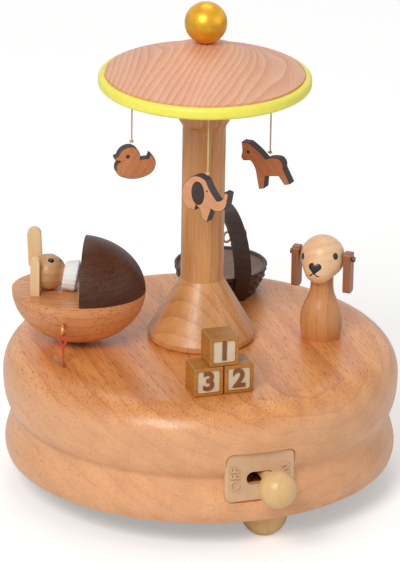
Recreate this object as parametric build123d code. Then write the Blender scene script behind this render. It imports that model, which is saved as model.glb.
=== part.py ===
from build123d import *
import math
import os

# Wooden wind-up carousel with a comb-and-cylinder musical movement.
# Millimetres.  +Z is up and the front, with the stop switch, faces -Y.
# The origin lies in the plane that the feet stand on, midway between the
# front of the switch knob and the back of the base.  Sizes are drawn round the
# column's axis, and main() moves every piece back by axis_back.

# Clearances
slip = 0.3            # between pieces of different bodies
fit = 0.05            # running fit of a shaft in its bush

# Turned base
foot_lift = 9.0       # underside of the base above the table
base_h = 34.0
base_foot_r = 56.2    # crisp lower edge
base_flare_out = 0.6  # just above that edge
base_flare_up = 2.4
base_waist_in = 1.8
base_waist_up = 12.0
base_belly_out = 1.2  # largest radius
base_edge_r = 9.7     # rounding of the top edge
base_wall = 6.8       # at the waist
top_wall = 7.5
cover_rim = 3.2       # base left round the cover
cover_t = 2.5
cover_screws = 4
cover_screw_turn = 20.0
wood_screw_r = 1.1
wood_screw_head_r = 2.1
wood_screw_head_t = 1.0
wood_screw_len = 8.0

# Ball feet
foot_r = 6.65
foot_sink = 3.1       # ball centre below the base
foot_inset = 2.4      # foot's centre inside the cavity wall
foot_count = 3
foot_turn = -83.5     # direction of the front foot
foot_screw_len = 4.5

# Column
column_r = 6.2
column_top_gap = 0.6  # below the canopy
cone_h = 18.5
cone_foot_r = 15.5
cone_band_h = 2.2
cone_round = 0.8
collar_r = 7.4
collar_h = 12.0
collar_round = 3.0    # run from the shaft out to the collar
column_bore_r = 2.6
tenon_r = 6.0
tenon_h = 5.0
bush_len = 6.0

# Canopy
canopy_under_up = 77.0    # underside above the base top
dome_r = 28.4
dome_edge_h = 3.8
dome_rise = 12.7          # apex above the underside
ring_r = 30.4             # outermost radius
ring_w = 2.6
ring_h = 3.5
ring_up = 78.5            # mid height above the base top
recess_r = 25.0
recess_d = 0.8
hub_r = 4.5               # flat of the recess round the shaft
finial_r = 6.05
finial_up = 95.5          # ball centre above the base top
shaft_r = 1.5

# Hanging figures
hang_r = 22.8
hang_turn = (-105.0, 15.0, 138.0)
figure_t = 2.9
thread_r = 0.25
knot_r = 0.8
elephant_up = 57.6        # knot above the base top
horse_up = 51.5
duck_up = 55.3
elephant_face = 35.0      # figures are turned about their threads
horse_face = 27.0
duck_face = -15.0
view_turn = -18.0
ear_recess = 0.4

# Cradle
cradle_x = -35.2
cradle_y = 6.2
cradle_turn = 158.0       # long axis, pointing outwards
cradle_a = 19.3
cradle_b = 15.6
cradle_gap = 0.5          # under the bowl
hood_start = -1.6
hood_wall = 1.7
pivot_drop = 1.9          # rocking axis below the rim
pivot_pin_r = 0.7
pivot_pin_len = 9.0
post_r = 1.7
post_collar_r = 3.0
pocket_u = 2.6            # half length of the pocket over the post
post_tip = 1.1            # post above the pin's axis
pocket_gap = 0.4
rock_range = 7.0
rock_spare = 1.0          # extra lean of the pocket's walls
eye_u = 2.6               # screw eye ring centre, in the cradle's own frame
eye_v = 18.6
eye_w = -5.6
eye_ring_r = 1.45
eye_wire_r = 0.4
eye_depth = 4.0

# Rabbit
rabbit_head_r = 5.2
rabbit_head_at = (8.7, 1.0)
rabbit_ear_w = 3.9
rabbit_ear_down_w = 2.6
rabbit_ear_t = 2.2
rabbit_ear_len = 11.4
rabbit_ear_up_at = (12.9, 11.2)
rabbit_ear_down_at = (11.9, 6.0)
collar_at = (-0.2, 4.6)       # ends of the cloth collar along the cradle
rabbit_collar_r = 4.6
blanket_r = 4.2
blanket_end = -11.0

# Pull string through the slot in the base top
slot_mid = (-44.8, -7.9)
slot_turn = -81.4
slot_len = 9.6
slot_w = 2.2
string_r = 0.3
string_foot = (-44.1, -11.3)
string_knot_r = 1.5
string_loop_r = 1.25

# Rocker lever under the base top
lever_up = -11.2              # lever's upper face, from the base top
lever_t = 1.0
lever_w = 4.0
lever_out = 27.0              # pivot to string
lever_in = 11.0
lever_turn = 188.0            # points from the pivot to the string
lever_hole_r = 1.1
lever_pin_r = 0.8
bracket_w = 1.2

# Switch
plate_w = 20.4
plate_h = 15.2
plate_t = 2.0
plate_inset = 1.4             # front face behind the belly
plate_up = 13.6               # centre above the underside of the base
plate_round = 2.2
slot_plate_len = 8.2
slot_plate_h = 3.9
slot_plate_drop = 0.5
wall_slot_margin = 1.0
knob_x = 2.1                  # at rest, playing
knob_travel = 4.3
peg_r = 1.7
knob_r = 5.35
knob_out = 9.1                # ball centre in front of the plate
slider_inset = 4.0            # slide's outer face inside the cavity wall
slider_t = 1.2
slider_w = 7.0
slider_h = 7.0
stop_wire_r = 0.4

# Dog
dog_x = 33.5
dog_y = -9.3
dog_turn = -128.0
dog_foot_r = 5.5
dog_belly_r = 6.1
dog_belly_up = 6.0
dog_neck_r = 3.3
dog_neck_up = 16.6
dog_head_r = 6.45
dog_head_up = 24.6
muzzle_r = 4.3
muzzle_reach = 4.1
muzzle_dip = 39.0
dog_ear_w = 3.6
dog_ear_t = 2.1
dog_ear_len = 12.3
dog_ear_pin_up = 0.5          # nail above the head's centre
dog_ear_pin_in = 2.0          # nail below the ear's top
dog_ear_gap = 0.35
nail_r = 0.45
nail_head_r = 0.8
nail_head_t = 0.5
nail_depth = 3.5

# Toy blocks
block = 8.65
block_gap = 0.3
block_mid_x = -7.1
block_front = -43.6
block_round = 0.5
panel = 6.6
panel_d = 0.35

# Basket
basket_x = 16.6
basket_y = 33.2
basket_rim_r = 13.8
basket_foot_r = 10.4
basket_belly = (13.2, 5.0)    # radius and height where the side turns upright
basket_h = 8.5
basket_lip = 0.9
basket_dish = 0.7
handle_turn = -80.0
handle_w = 4.8
handle_t = 1.7
handle_top = 27.5
bow_up = 20.5
bow_loop_r = 1.6
bow_wire_r = 0.35
bow_droop = 1.2               # loops hang below the knot

# Musical movement
bed_t = 2.0
bed_round = 4.0
bed_front = 40.5              # reach towards the switch
bed_back = 16.0
bed_half = 20.0
bed_screw_inset = 4.0
bed_front_inset = 10.0
barrel_r = 12.0
barrel_h = 9.2
barrel_wall = 1.0
barrel_lift = 0.8
crown_teeth = 40
crown_r = 11.0
crown_tooth_h = 0.9
mesh_depth = 0.6
tooth_w = 0.45
arbor_r = 2.0
spring_t = 0.4
spring_pitch = 1.0
spring_turns = 7
cyl_r = 4.8
cyl_len = 16.0
cyl_start = 16.5
cyl_arbor_r = 0.9
pin_h = 0.5
pin_r = 0.22
notes = 18
pins_per_note = 3
pin_step = 137.5
pinion_teeth = 10
pinion_w = 2.0
gear_module = 0.38
gear_teeth = 40
gear_w = 1.2
gov_pinion_teeth = 10
gov_angle = 25.0
worm_teeth = 18
worm_pitch = 1.25
worm_r = 1.3
worm_core_r = 0.8
worm_turns = 4
worm_thread_w = 0.36
fly_pivot_r = 0.45
gov_arbor_r = 0.6
frame_t = 1.4                 # cheeks of the governor's bracket
fly_r = 4.5
fly_h = 4.5
fly_t = 0.5
comb_t = 1.0
comb_tip_gap = 0.35
comb_len = 14.0
comb_stand = 6.0
tine_len = 8.0
tine_slit = 0.3
key_wing_w = 20.0
key_wing_h = 4.6
key_wing_t = 1.8
key_shank_r = 2.6
key_gap = 1.6                 # under the key
key_top_drop = 0.5            # top of the key's hub below the base
cam_r = 8.5
cam_t = 1.2
cam_lobes = 3
cam_lobe_h = 0.8
cam_lobe_r = 1.2
cam_gap = 1.3                 # lobes to the lever at rest

# Radii that follow
base_flare_r = base_foot_r + base_flare_out
base_waist_r = base_foot_r - base_waist_in
base_belly_r = base_foot_r + base_belly_out
cavity_r = base_waist_r - base_wall
cover_r = base_foot_r - cover_rim
cover_screw_ring = (cavity_r + cover_r) / 2
foot_ring = cavity_r - foot_inset
plate_face = base_belly_r - plate_inset
axis_back = (plate_face + knob_out + knob_r - base_belly_r) / 2

# Heights that follow
z_base = foot_lift
z_top = z_base + base_h
z_ceiling = z_top - top_wall
z_cover = z_base + cover_t
z_bed = z_cover + bed_t
z_barrel = z_bed + barrel_lift
z_crown = z_barrel + barrel_h
z_canopy = z_top + canopy_under_up
cradle_z = z_top + cradle_gap + cradle_b

# Gear sizes that follow
pinion_pitch_r = pinion_teeth * crown_r / crown_teeth
pinion_tip_r = pinion_pitch_r + mesh_depth - 0.1
gear_pitch_r = gear_module * gear_teeth / 2
gov_pinion_pitch_r = gear_module * gov_pinion_teeth / 2
gear_addendum = 0.34
worm_wheel_pitch_r = worm_teeth * worm_pitch / (2 * math.pi)
worm_reach = 0.24
worm_gap = 0.12
z_cyl = z_crown + crown_tooth_h - mesh_depth + pinion_tip_r
gov_distance = gear_pitch_r + gov_pinion_pitch_r
gov_x = -gov_distance * math.cos(math.radians(gov_angle))
gov_z = z_cyl - gov_distance * math.sin(math.radians(gov_angle))
fly_x = gov_x - worm_wheel_pitch_r - worm_reach - worm_r - worm_gap
low = (Align.CENTER, Align.CENTER, Align.MIN)


def polar(radius, angle):
    """A point at a radius and an angle in degrees."""
    turn = math.radians(angle)
    return radius * math.cos(turn), radius * math.sin(turn)


def turned(*edges):
    """A solid of revolution about Z from a profile drawn as (radius, height)."""
    return revolve(Plane.XZ * make_face(Curve() + list(edges)), Axis.Z)


def disc(radius, z0, z1, x=0.0, y=0.0):
    """A round bar along Z between two heights."""
    return Pos(x, y, z0) * Cylinder(radius, z1 - z0, align=low)


def bar_y(radius, y0, y1, x=0.0, z=0.0):
    """A round bar along Y between two stations."""
    return Pos(x, y0, z) * Rot(-90, 0, 0) * Cylinder(radius, y1 - y0, align=low)


def bar_x(radius, x0, x1, y=0.0, z=0.0):
    """A round bar along X between two stations."""
    return Pos(x0, y, z) * Rot(0, 90, 0) * Cylinder(radius, x1 - x0, align=low)


def slab(x0, x1, y0, y1, z0, z1):
    """A box between its lowest and highest corners."""
    centre = Pos((x0 + x1) / 2, (y0 + y1) / 2, (z0 + z1) / 2)
    return centre * Box(x1 - x0, y1 - y0, z1 - z0)


def gear(teeth, pitch_r, addendum, width, bore_r, phase=0.0):
    """A narrow-toothed spur gear on Z, its lower face at zero."""
    root_r = pitch_r - addendum - 0.25
    tip_r = pitch_r + addendum
    points = []
    for tooth in range(teeth):
        centre = phase + 360.0 * tooth / teeth
        for radius, half in ((root_r, tooth_w), (tip_r, tooth_w * 0.55)):
            points.append(polar(radius, centre - math.degrees(half / 2 / radius)))
        for radius, half in ((tip_r, tooth_w * 0.55), (root_r, tooth_w)):
            points.append(polar(radius, centre + math.degrees(half / 2 / radius)))
    blank = make_face(Polyline(*points, close=True)) - Circle(bore_r)
    return extrude(blank, width)


def screw(head_r, head_t, shank_r, length):
    """A slotted screw on Z, head below zero and shank above it."""
    body = Pos(0, 0, -head_t) * Cylinder(head_r, head_t, align=low)
    body = fillet(body.edges().group_by(Axis.Z)[0], head_t * 0.6)
    body += Cylinder(shank_r, length, align=low)
    return body - Pos(0, 0, -head_t) * Box(head_r * 3, head_t * 0.5, head_t)


# ---------------------------------------------------------------- base

def base_body():
    belly_z = z_top - base_edge_r
    side = Spline(
        (base_foot_r, z_base),
        (base_flare_r, z_base + base_flare_up),
        (base_waist_r, z_base + base_waist_up),
        (base_belly_r, belly_z),
        tangents=[(0.4, 1.0), (0.0, 1.0)],
    )
    edge_start = base_belly_r - base_edge_r
    corner = polar(base_edge_r, 45)
    edge = ThreePointArc(
        (base_belly_r, belly_z),
        (edge_start + corner[0], belly_z + corner[1]),
        (edge_start, z_top),
    )
    body = turned(
        side,
        edge,
        Line((edge_start, z_top), (0, z_top)),
        Line((0, z_top), (0, z_base)),
        Line((0, z_base), (base_foot_r, z_base)),
    )
    body -= disc(cavity_r, z_base, z_ceiling)
    body -= disc(cover_r, z_base, z_cover)
    body -= disc(tenon_r, z_top - tenon_h, z_top)
    body -= disc(column_bore_r, z_ceiling, z_top)
    body -= string_slot()
    body -= switch_pocket()
    body -= disc(post_r, z_ceiling, z_top, cradle_x, cradle_y)
    for angle in cover_screw_angles():
        x, y = polar(cover_screw_ring, angle)
        body -= disc(wood_screw_r, z_cover, z_base + wood_screw_len, x, y)
    return body


def cover_screw_angles():
    return [cover_screw_turn + 360.0 * n / cover_screws for n in range(cover_screws)]


def foot_angles():
    return [foot_turn + 360.0 * n / foot_count for n in range(foot_count)]


def string_slot():
    shape = extrude(SlotOverall(slot_len, slot_w), top_wall)
    return Pos(slot_mid[0], slot_mid[1], z_ceiling) * Rot(0, 0, slot_turn) * shape


def switch_pocket():
    """The flat recess for the switch plate and the slot behind it."""
    z = z_base + plate_up
    outer = base_belly_r + 1.0
    back = -(plate_face - plate_t)
    wide = plate_w / 2 + fit
    tall = plate_h / 2 + fit
    recess = slab(-wide, wide, -outer, back, z - tall, z + tall)
    recess = fillet(recess.edges().filter_by(Axis.Y), plate_round)
    half = slot_plate_len / 2 + wall_slot_margin
    rise = slot_plate_h / 2 + wall_slot_margin
    mid = z - slot_plate_drop
    through = slab(-half, half, back, slider_back(), mid - rise, mid + rise)
    return recess + through


def bottom_cover():
    cover = disc(cover_r - slip, z_base, z_cover)
    cover -= disc(key_shank_r + slip + 0.2, z_base, z_cover)
    for angle in cover_screw_angles():
        x, y = polar(cover_screw_ring, angle)
        cover -= disc(wood_screw_r + fit, z_base, z_cover, x, y)
    for angle in foot_angles():
        x, y = polar(foot_ring, angle)
        cover -= disc(wood_screw_r, z_base, z_cover, x, y)
    for x, y in bed_screw_places():
        cover -= disc(wood_screw_r + fit, z_base, z_cover, x, y)
    return cover


def cover_screw_set():
    body = Part()
    for angle in cover_screw_angles():
        x, y = polar(cover_screw_ring, angle)
        one = screw(wood_screw_head_r, wood_screw_head_t, wood_screw_r - fit, wood_screw_len - fit)
        body += Pos(x, y, z_base) * one
    return body


def ball_foot(angle):
    x, y = polar(foot_ring, angle)
    ball = Pos(x, y, z_base - foot_sink) * Sphere(foot_r)
    span = foot_r * 2
    ball &= slab(x - span, x + span, y - span, y + span, 0.0, z_base)
    return ball - disc(wood_screw_r, z_base - foot_screw_len, z_base, x, y)


def foot_screw_set():
    body = Part()
    for angle in foot_angles():
        x, y = polar(foot_ring, angle)
        length = cover_t + foot_screw_len - fit
        one = screw(wood_screw_head_r, wood_screw_head_t, wood_screw_r - fit, length)
        body += Pos(x, y, z_cover) * Rot(180, 0, 0) * one
    return body


# ---------------------------------------------------------------- column

def column():
    top = z_canopy - column_top_gap
    body = turned(
        Polyline(
            (0, z_top),
            (cone_foot_r - cone_round, z_top),
            (cone_foot_r, z_top + cone_round),
            (cone_foot_r, z_top + cone_band_h),
            (column_r, z_top + cone_h),
            (column_r, top - collar_h),
        ),
        Spline(
            (column_r, top - collar_h),
            (collar_r, top - collar_h + collar_round),
            tangents=[(0, 1), (0, 1)],
        ),
        Polyline((collar_r, top - collar_h + collar_round), (collar_r, top), (0, top), (0, z_top)),
    )
    body += disc(tenon_r - fit, z_top - tenon_h + fit, z_top)
    body -= disc(column_bore_r, z_top - tenon_h, top)
    for z in bush_places():
        body -= disc(column_bore_r + 0.8, z, z + bush_len)
    return body


def bush_places():
    top = z_canopy - column_top_gap
    return (z_top - tenon_h + fit, top - bush_len)


def column_bushes():
    body = Part()
    for z in bush_places():
        bush = disc(column_bore_r + 0.8, z, z + bush_len)
        body += bush - disc(shaft_r + fit, z, z + bush_len)
    return body


# ---------------------------------------------------------------- canopy

def canopy_dome():
    edge_z = z_canopy + dome_edge_h
    apex = z_canopy + dome_rise
    dome = turned(
        Line((0, z_canopy), (dome_r, z_canopy)),
        Line((dome_r, z_canopy), (dome_r, edge_z)),
        Spline((dome_r, edge_z), (dome_r * 0.55, edge_z + (apex - edge_z) * 0.48), (0, apex),
               tangents=[(-1.0, 0.36), (-1.0, 0.0)]),
        Line((0, apex), (0, z_canopy)),
    )
    recess = disc(recess_r, z_canopy, z_canopy + recess_d)
    dome -= recess - disc(hub_r, z_canopy, z_canopy + recess_d)
    dome -= disc(shaft_r + fit, z_canopy, apex)
    return dome


def canopy_ring():
    z = z_top + ring_up
    bead = RectangleRounded(ring_w, ring_h, ring_w * 0.47)
    ring = revolve(Pos(ring_r - ring_w / 2, 0, z) * Rot(90, 0, 0) * bead, Axis.Z)
    return ring - disc(dome_r + fit, z - ring_h, z + ring_h)


def finial_ball():
    z = z_top + finial_up
    ball = Pos(0, 0, z) * Sphere(finial_r)
    span = finial_r * 2
    ball &= slab(-span, span, -span, span, z_canopy + dome_rise + fit, z + span)
    return ball - disc(shaft_r + fit, z - span, z)


def spindle():
    hub_top = z_crown + 1.2
    body = disc(shaft_r, z_crown, z_top + finial_up - 0.5)
    return body + disc(3.2, z_crown, hub_top)


# ---------------------------------------------------------------- hanging figures

def duck_outline():
    return Curve() + [
        Line((-5.2, -3.3), (-5.1, -4.1)),
        Line((-5.1, -4.1), (-3.6, -4.5)),
        ThreePointArc((-3.6, -4.5), (-4.9, -6.9), (-3.6, -9.1)),
        ThreePointArc((-3.6, -9.1), (0.9, -10.2), (5.1, -9.1)),
        ThreePointArc((5.1, -9.1), (6.9, -6.2), (5.2, -2.8)),
        Line((5.2, -2.8), (4.8, -4.2)),
        Line((4.8, -4.2), (2.2, -4.3)),
        ThreePointArc((2.2, -4.3), (1.9, -1.9), (-0.2, -0.3)),
        ThreePointArc((-0.2, -0.3), (-3.0, -1.0), (-4.3, -3.0)),
        Line((-4.3, -3.0), (-5.2, -3.3)),
    ]


def elephant_outline():
    return Curve() + [
        ThreePointArc((0.4, -0.8), (-2.8, 0.0), (-6.0, -1.9)),
        ThreePointArc((-6.0, -1.9), (-7.8, -5.4), (-7.5, -8.6)),
        Line((-7.5, -8.6), (-5.9, -10.5)),
        Line((-5.9, -10.5), (-3.2, -10.4)),
        Line((-3.2, -10.4), (-3.0, -8.8)),
        Line((-3.0, -8.8), (-1.8, -9.4)),
        Line((-1.8, -9.4), (-0.5, -12.5)),
        Line((-0.5, -12.5), (0.9, -13.1)),
        Line((0.9, -13.1), (2.3, -8.8)),
        ThreePointArc((2.3, -8.8), (5.9, -8.6), (7.6, -5.9)),
        Line((7.6, -5.9), (8.1, -3.1)),
        Line((8.1, -3.1), (6.6, -2.8)),
        ThreePointArc((6.6, -2.8), (5.9, -5.2), (4.1, -5.9)),
        ThreePointArc((4.1, -5.9), (1.9, -3.4), (0.4, -0.8)),
    ]


def horse_outline():
    return Curve() + [
        Line((-8.6, 3.0), (-6.3, 3.1)),
        ThreePointArc((-6.3, 3.1), (-3.5, 1.4), (-0.8, -0.9)),
        ThreePointArc((-0.8, -0.9), (1.4, -0.1), (3.4, 0.0)),
        ThreePointArc((3.4, 0.0), (4.6, -1.0), (4.9, -2.8)),
        Line((4.9, -2.8), (7.3, -7.2)),
        Line((7.3, -7.2), (5.5, -7.8)),
        Line((5.5, -7.8), (3.5, -5.4)),
        Line((3.5, -5.4), (-0.7, -6.2)),
        Line((-0.7, -6.2), (-1.0, -10.0)),
        Line((-1.0, -10.0), (-2.7, -10.5)),
        Line((-2.7, -10.5), (-3.7, -5.6)),
        ThreePointArc((-3.7, -5.6), (-4.4, -3.7), (-5.6, -2.2)),
        Line((-5.6, -2.2), (-8.0, -2.6)),
        Line((-8.0, -2.6), (-8.6, -1.7)),
        Line((-8.6, -1.7), (-8.3, 0.4)),
        Line((-8.3, 0.4), (-8.6, 3.0)),
    ]


def figure_place(hang_angle, knot_up, face):
    """A figure's own frame: origin at its knot, X across its face, Z up."""
    x, y = polar(hang_r, hang_angle)
    return Pos(x, y, z_top + knot_up) * Rot(0, 0, view_turn + face)


def figure_plate(outline, place):
    """A flat figure cut from sheet, standing upright, with a hole for its thread."""
    face = make_face(outline)
    plate = extrude(Plane.XZ * face, figure_t / 2, both=True)
    return place * plate


def figure_thread(hang_angle, knot_up):
    x, y = polar(hang_r, hang_angle)
    foot = z_top + knot_up
    head = z_canopy + recess_d - slip
    knot = Pos(x, y, foot + knot_r + 0.1) * Sphere(knot_r)
    line = disc(thread_r, foot + knot_r, head, x, y)
    return knot + line


def elephant_plate():
    place = figure_place(hang_turn[0], elephant_up, -elephant_face)
    plate = figure_plate(elephant_outline(), place)
    ear = extrude(Plane.XZ * (Pos(-2.3, -5.1) * Ellipse(2.35, 3.65)), ear_recess)
    return plate - place * Pos(0, -figure_t / 2 + ear_recess, 0) * ear


def horse_plate():
    place = figure_place(hang_turn[1], horse_up, -horse_face)
    return figure_plate(horse_outline(), place)


def duck_plate():
    place = figure_place(hang_turn[2], duck_up, -duck_face)
    return figure_plate(duck_outline(), place)


# ---------------------------------------------------------------- cradle

def cradle_frame():
    """The cradle's own frame: X outwards along it, Y to its near side, Z up."""
    return Pos(cradle_x, cradle_y, cradle_z) * Rot(0, 0, cradle_turn)


def half_egg(a, b, side):
    """Half an egg, long half axis a on X and half width b, above or below its middle plane."""
    half = Curve() + [
        EllipticalCenterArc((0, 0), a, b, start_angle=0, arc_size=180),
        Line((-a, 0), (a, 0)),
    ]
    return revolve(make_face(half), Axis.X, side * 180)


def cradle_bowl():
    bowl = half_egg(cradle_a, cradle_b, -1)
    span = cradle_a * 2
    roof = post_tip - pivot_drop + pocket_gap
    upper = post_r + pocket_gap
    lower = upper + span * math.tan(math.radians(rock_range + rock_spare))
    wedge = Polyline((-upper, roof), (upper, roof), (lower, -span), (-lower, -span), close=True)
    bowl -= extrude(Plane.YZ * make_face(wedge), pocket_u, both=True)
    half_pin = pivot_pin_len / 2
    bowl -= bar_x(pivot_pin_r, -half_pin, half_pin, 0.0, -pivot_drop)
    bowl -= screw_eye_shank(fit)
    return cradle_frame() * bowl


def cradle_hood():
    shell = half_egg(cradle_a, cradle_b, 1) - half_egg(cradle_a - hood_wall, cradle_b - hood_wall, 1)
    span = cradle_a * 2
    shell &= slab(-span, hood_start, -span, span, -span, span)
    return cradle_frame() * shell


def cradle_pin():
    half = pivot_pin_len / 2
    return cradle_frame() * bar_x(pivot_pin_r - fit / 2, -half, half, 0.0, -pivot_drop)


def cradle_post():
    """The fixed post that the rocking pin passes through."""
    pin_z = cradle_z - pivot_drop
    top = pin_z + post_tip
    post = disc(post_r - fit / 2, z_ceiling - 1.0, top, cradle_x, cradle_y)
    post += disc(post_collar_r, z_ceiling - 1.0, z_ceiling, cradle_x, cradle_y)
    hole = bar_x(pivot_pin_r + fit, -post_r * 2, post_r * 2, 0.0, -pivot_drop)
    return post - cradle_frame() * hole


def screw_eye_shank(extra=0.0):
    start = eye_v - eye_ring_r
    inner = math.sqrt(cradle_b ** 2 - eye_w ** 2) - eye_depth
    return bar_y(eye_wire_r * 1.2 + extra, inner, start, eye_u, eye_w)


def screw_eye():
    ring = Pos(eye_u, eye_v, eye_w) * Rot(0, 90, 0) * Torus(eye_ring_r, eye_wire_r)
    return cradle_frame() * (ring + screw_eye_shank())


# ---------------------------------------------------------------- rabbit

def rabbit_head():
    u, v = rabbit_head_at
    ball = Pos(u, v, rabbit_head_r) * Sphere(rabbit_head_r)
    span = rabbit_head_r * 3
    ball &= slab(u - span, u + span, v - span, v + span, 0.0, span)
    return cradle_frame() * ball


def ear_blank(width, thickness, length):
    """A flat bar with one round end, standing on zero with its flat side across Y."""
    foot = Pos(0, (length - width / 2) / 2) * Rectangle(width, length - width / 2)
    tip = Pos(0, length - width / 2) * Circle(width / 2)
    return extrude(Plane.XZ * (foot + tip), thickness / 2, both=True)


def rabbit_ears():
    u, v = rabbit_head_at
    side = rabbit_head_r * 0.82 + rabbit_ear_t / 2
    upright = Pos(rabbit_ear_up_at[0], v - side, rabbit_head_r) * Rot(0, 3, 0)
    hanging = Pos(rabbit_ear_down_at[0], v + side, 0.02)
    pair = upright * ear_blank(rabbit_ear_w, rabbit_ear_t, rabbit_ear_len)
    pair += hanging * ear_blank(rabbit_ear_down_w, rabbit_ear_t, rabbit_ear_len)
    head = Pos(u, v, rabbit_head_r) * Sphere(rabbit_head_r + 0.02)
    return cradle_frame() * (pair - head)


def rabbit_collar():
    start, end = collar_at
    v = rabbit_head_at[1]
    sleeve = bar_x(rabbit_collar_r, start, end, v, rabbit_collar_r)
    sleeve = fillet(sleeve.edges().filter_by(GeomType.CIRCLE), 0.7)
    head = Pos(rabbit_head_at[0], v, rabbit_head_r) * Sphere(rabbit_head_r + 0.05)
    return cradle_frame() * (sleeve - head)


def rabbit_blanket():
    v = rabbit_head_at[1]
    start = collar_at[0] - fit
    roll = bar_x(blanket_r, blanket_end, start, v * 0.5, blanket_r)
    roll = fillet(roll.edges().filter_by(GeomType.CIRCLE), 1.2)
    return cradle_frame() * roll


# ---------------------------------------------------------------- pull string and lever

def ring_centre():
    """The screw eye's centre in the object's frame."""
    turn = math.radians(cradle_turn)
    x = cradle_x + eye_u * math.cos(turn) - eye_v * math.sin(turn)
    y = cradle_y + eye_u * math.sin(turn) + eye_v * math.cos(turn)
    return x, y, cradle_z + eye_w


def pull_string():
    """A loop through the screw eye, then one strand to a knot under the lever."""
    x, y, z = ring_centre()
    foot_z = z_top + lever_up - lever_t - slip - string_knot_r
    loop_z = z - string_loop_r - eye_ring_r + eye_wire_r + string_r * 2
    start = Vector(x, y, loop_z - string_loop_r - string_r)
    run = Vector(string_foot[0], string_foot[1], foot_z) - start
    strand = Plane(start, z_dir=run) * Cylinder(string_r, run.length, align=low)
    loop = Pos(x, y, loop_z) * Rot(0, 0, cradle_turn) * Rot(90, 0, 0) * Torus(string_loop_r, string_r)
    bead = Pos(start) * Sphere(string_r * 1.8)
    knot = Pos(string_foot[0], string_foot[1], foot_z) * Sphere(string_knot_r)
    return loop + bead + strand + knot


def lever_frame():
    """The lever's own frame: origin on its pivot, X towards the string."""
    x, y = polar(lever_out, lever_turn)
    z = z_top + lever_up - lever_t / 2
    return Pos(string_foot[0] - x, string_foot[1] - y, z) * Rot(0, 0, lever_turn)


def pull_lever():
    arm = slab(-lever_in, lever_out + lever_w / 2, -lever_w / 2, lever_w / 2, -lever_t / 2, lever_t / 2)
    arm = fillet(arm.edges().filter_by(Axis.Z), lever_w / 2 - 0.1)
    arm += bar_y(lever_pin_r + 0.7, -lever_w / 2, lever_w / 2)
    arm -= bar_y(lever_pin_r + fit, -lever_w, lever_w)
    arm -= disc(lever_hole_r, -lever_t, lever_t, lever_out)
    return lever_frame() * arm


def lever_bracket():
    """A forked bracket hung from the ceiling, with the lever's pivot pin."""
    ceiling = z_ceiling - (z_top + lever_up - lever_t / 2)
    inner = lever_w / 2 + slip
    outer = inner + bracket_w
    cheek_half = 2.4
    body = slab(-cheek_half, cheek_half, -outer, outer, ceiling - bracket_w, ceiling)
    foot = -lever_pin_r - 1.0
    body += slab(-cheek_half, cheek_half, inner, outer, foot, ceiling)
    body += slab(-cheek_half, cheek_half, -outer, -inner, foot, ceiling)
    body += bar_y(lever_pin_r, -outer, outer)
    return lever_frame() * body


# ---------------------------------------------------------------- switch

def switch_plate():
    z = z_base + plate_up
    back = -(plate_face - plate_t)
    plate = slab(-plate_w / 2, plate_w / 2, -plate_face, back, z - plate_h / 2, z + plate_h / 2)
    plate = fillet(plate.edges().filter_by(Axis.Y), plate_round)
    plate = chamfer(plate.faces().sort_by(Axis.Y)[0].edges(), 0.5)
    mid = z - slot_plate_drop
    slot = Plane.XZ * SlotOverall(slot_plate_len, slot_plate_h)
    cut = Pos(0, -(plate_face - plate_t / 2), mid) * extrude(slot, plate_t, both=True)
    return plate - cut


def switch_knob():
    z = z_base + plate_up - slot_plate_drop
    ball_y = -(plate_face + knob_out)
    ball = Pos(knob_x, ball_y, z) * Sphere(knob_r)
    peg = bar_y(peg_r, ball_y, slider_back(), knob_x, z)
    return ball + peg


def slider_back():
    return -cavity_r + slider_inset


def stop_slider():
    """The inner slide on the switch peg, with the wire that catches the fly."""
    z = z_base + plate_up - slot_plate_drop
    back = slider_back()
    half = slider_w / 2
    rise = slider_h / 2
    body = slab(knob_x - half, knob_x + half, back, back + slider_t, z - rise, z + rise)
    wire_x = fly_x + knob_travel
    wire_z = fly_low_z() + fly_h / 2
    wire_y = -(fly_y() + fly_r + slip)
    body += slab(wire_x - stop_wire_r, knob_x, back, back + slider_t, wire_z - 1.0, wire_z + 1.0)
    body += slab(knob_x - 1.0, knob_x + 1.0, back, back + slider_t, z, wire_z + 1.0)
    return body + bar_y(stop_wire_r, back, wire_y, wire_x, wire_z)


# ---------------------------------------------------------------- dog

def dog_frame():
    """The dog's own frame: X is the way it looks."""
    return Pos(dog_x, dog_y, z_top) * Rot(0, 0, dog_turn)


def dog_body():
    body = turned(
        Line((0, 0), (dog_foot_r, 0)),
        Spline(
            (dog_foot_r, 0),
            (dog_belly_r, dog_belly_up),
            (4.95, 10.4),
            (3.64, 13.6),
            (dog_neck_r, dog_neck_up),
            (dog_neck_r, dog_neck_up + 3.0),
            tangents=[(0.3, 1), (0, 1)],
        ),
        Line((dog_neck_r, dog_neck_up + 3.0), (0, dog_neck_up + 3.0)),
        Line((0, dog_neck_up + 3.0), (0, 0)),
    )
    return dog_frame() * (body - dog_head_shape(0.02))


def dog_head_shape(extra=0.0):
    """A ball that runs into a smaller ball, the muzzle, in front of it."""
    big = dog_head_r + extra
    small = muzzle_r + extra
    lean = math.asin((big - small) / muzzle_reach)
    start = (big * math.sin(lean), big * math.cos(lean))
    end = (muzzle_reach + small * math.sin(lean), small * math.cos(lean))
    tip = lean / 2 + math.pi / 4
    back = (math.pi / 2 + lean) / 2
    profile = Curve() + [
        ThreePointArc((-big, 0), (-big * math.cos(back), big * math.sin(back)), start),
        Line(start, end),
        ThreePointArc(end, (muzzle_reach + small * math.sin(tip), small * math.cos(tip)),
                      (muzzle_reach + small, 0)),
        Line((muzzle_reach + small, 0), (-big, 0)),
    ]
    shape = revolve(make_face(profile), Axis.X)
    return Pos(0, 0, dog_head_up) * Rot(0, muzzle_dip, 0) * shape


def dog_nail_z():
    return dog_head_up + dog_ear_pin_up


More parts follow.
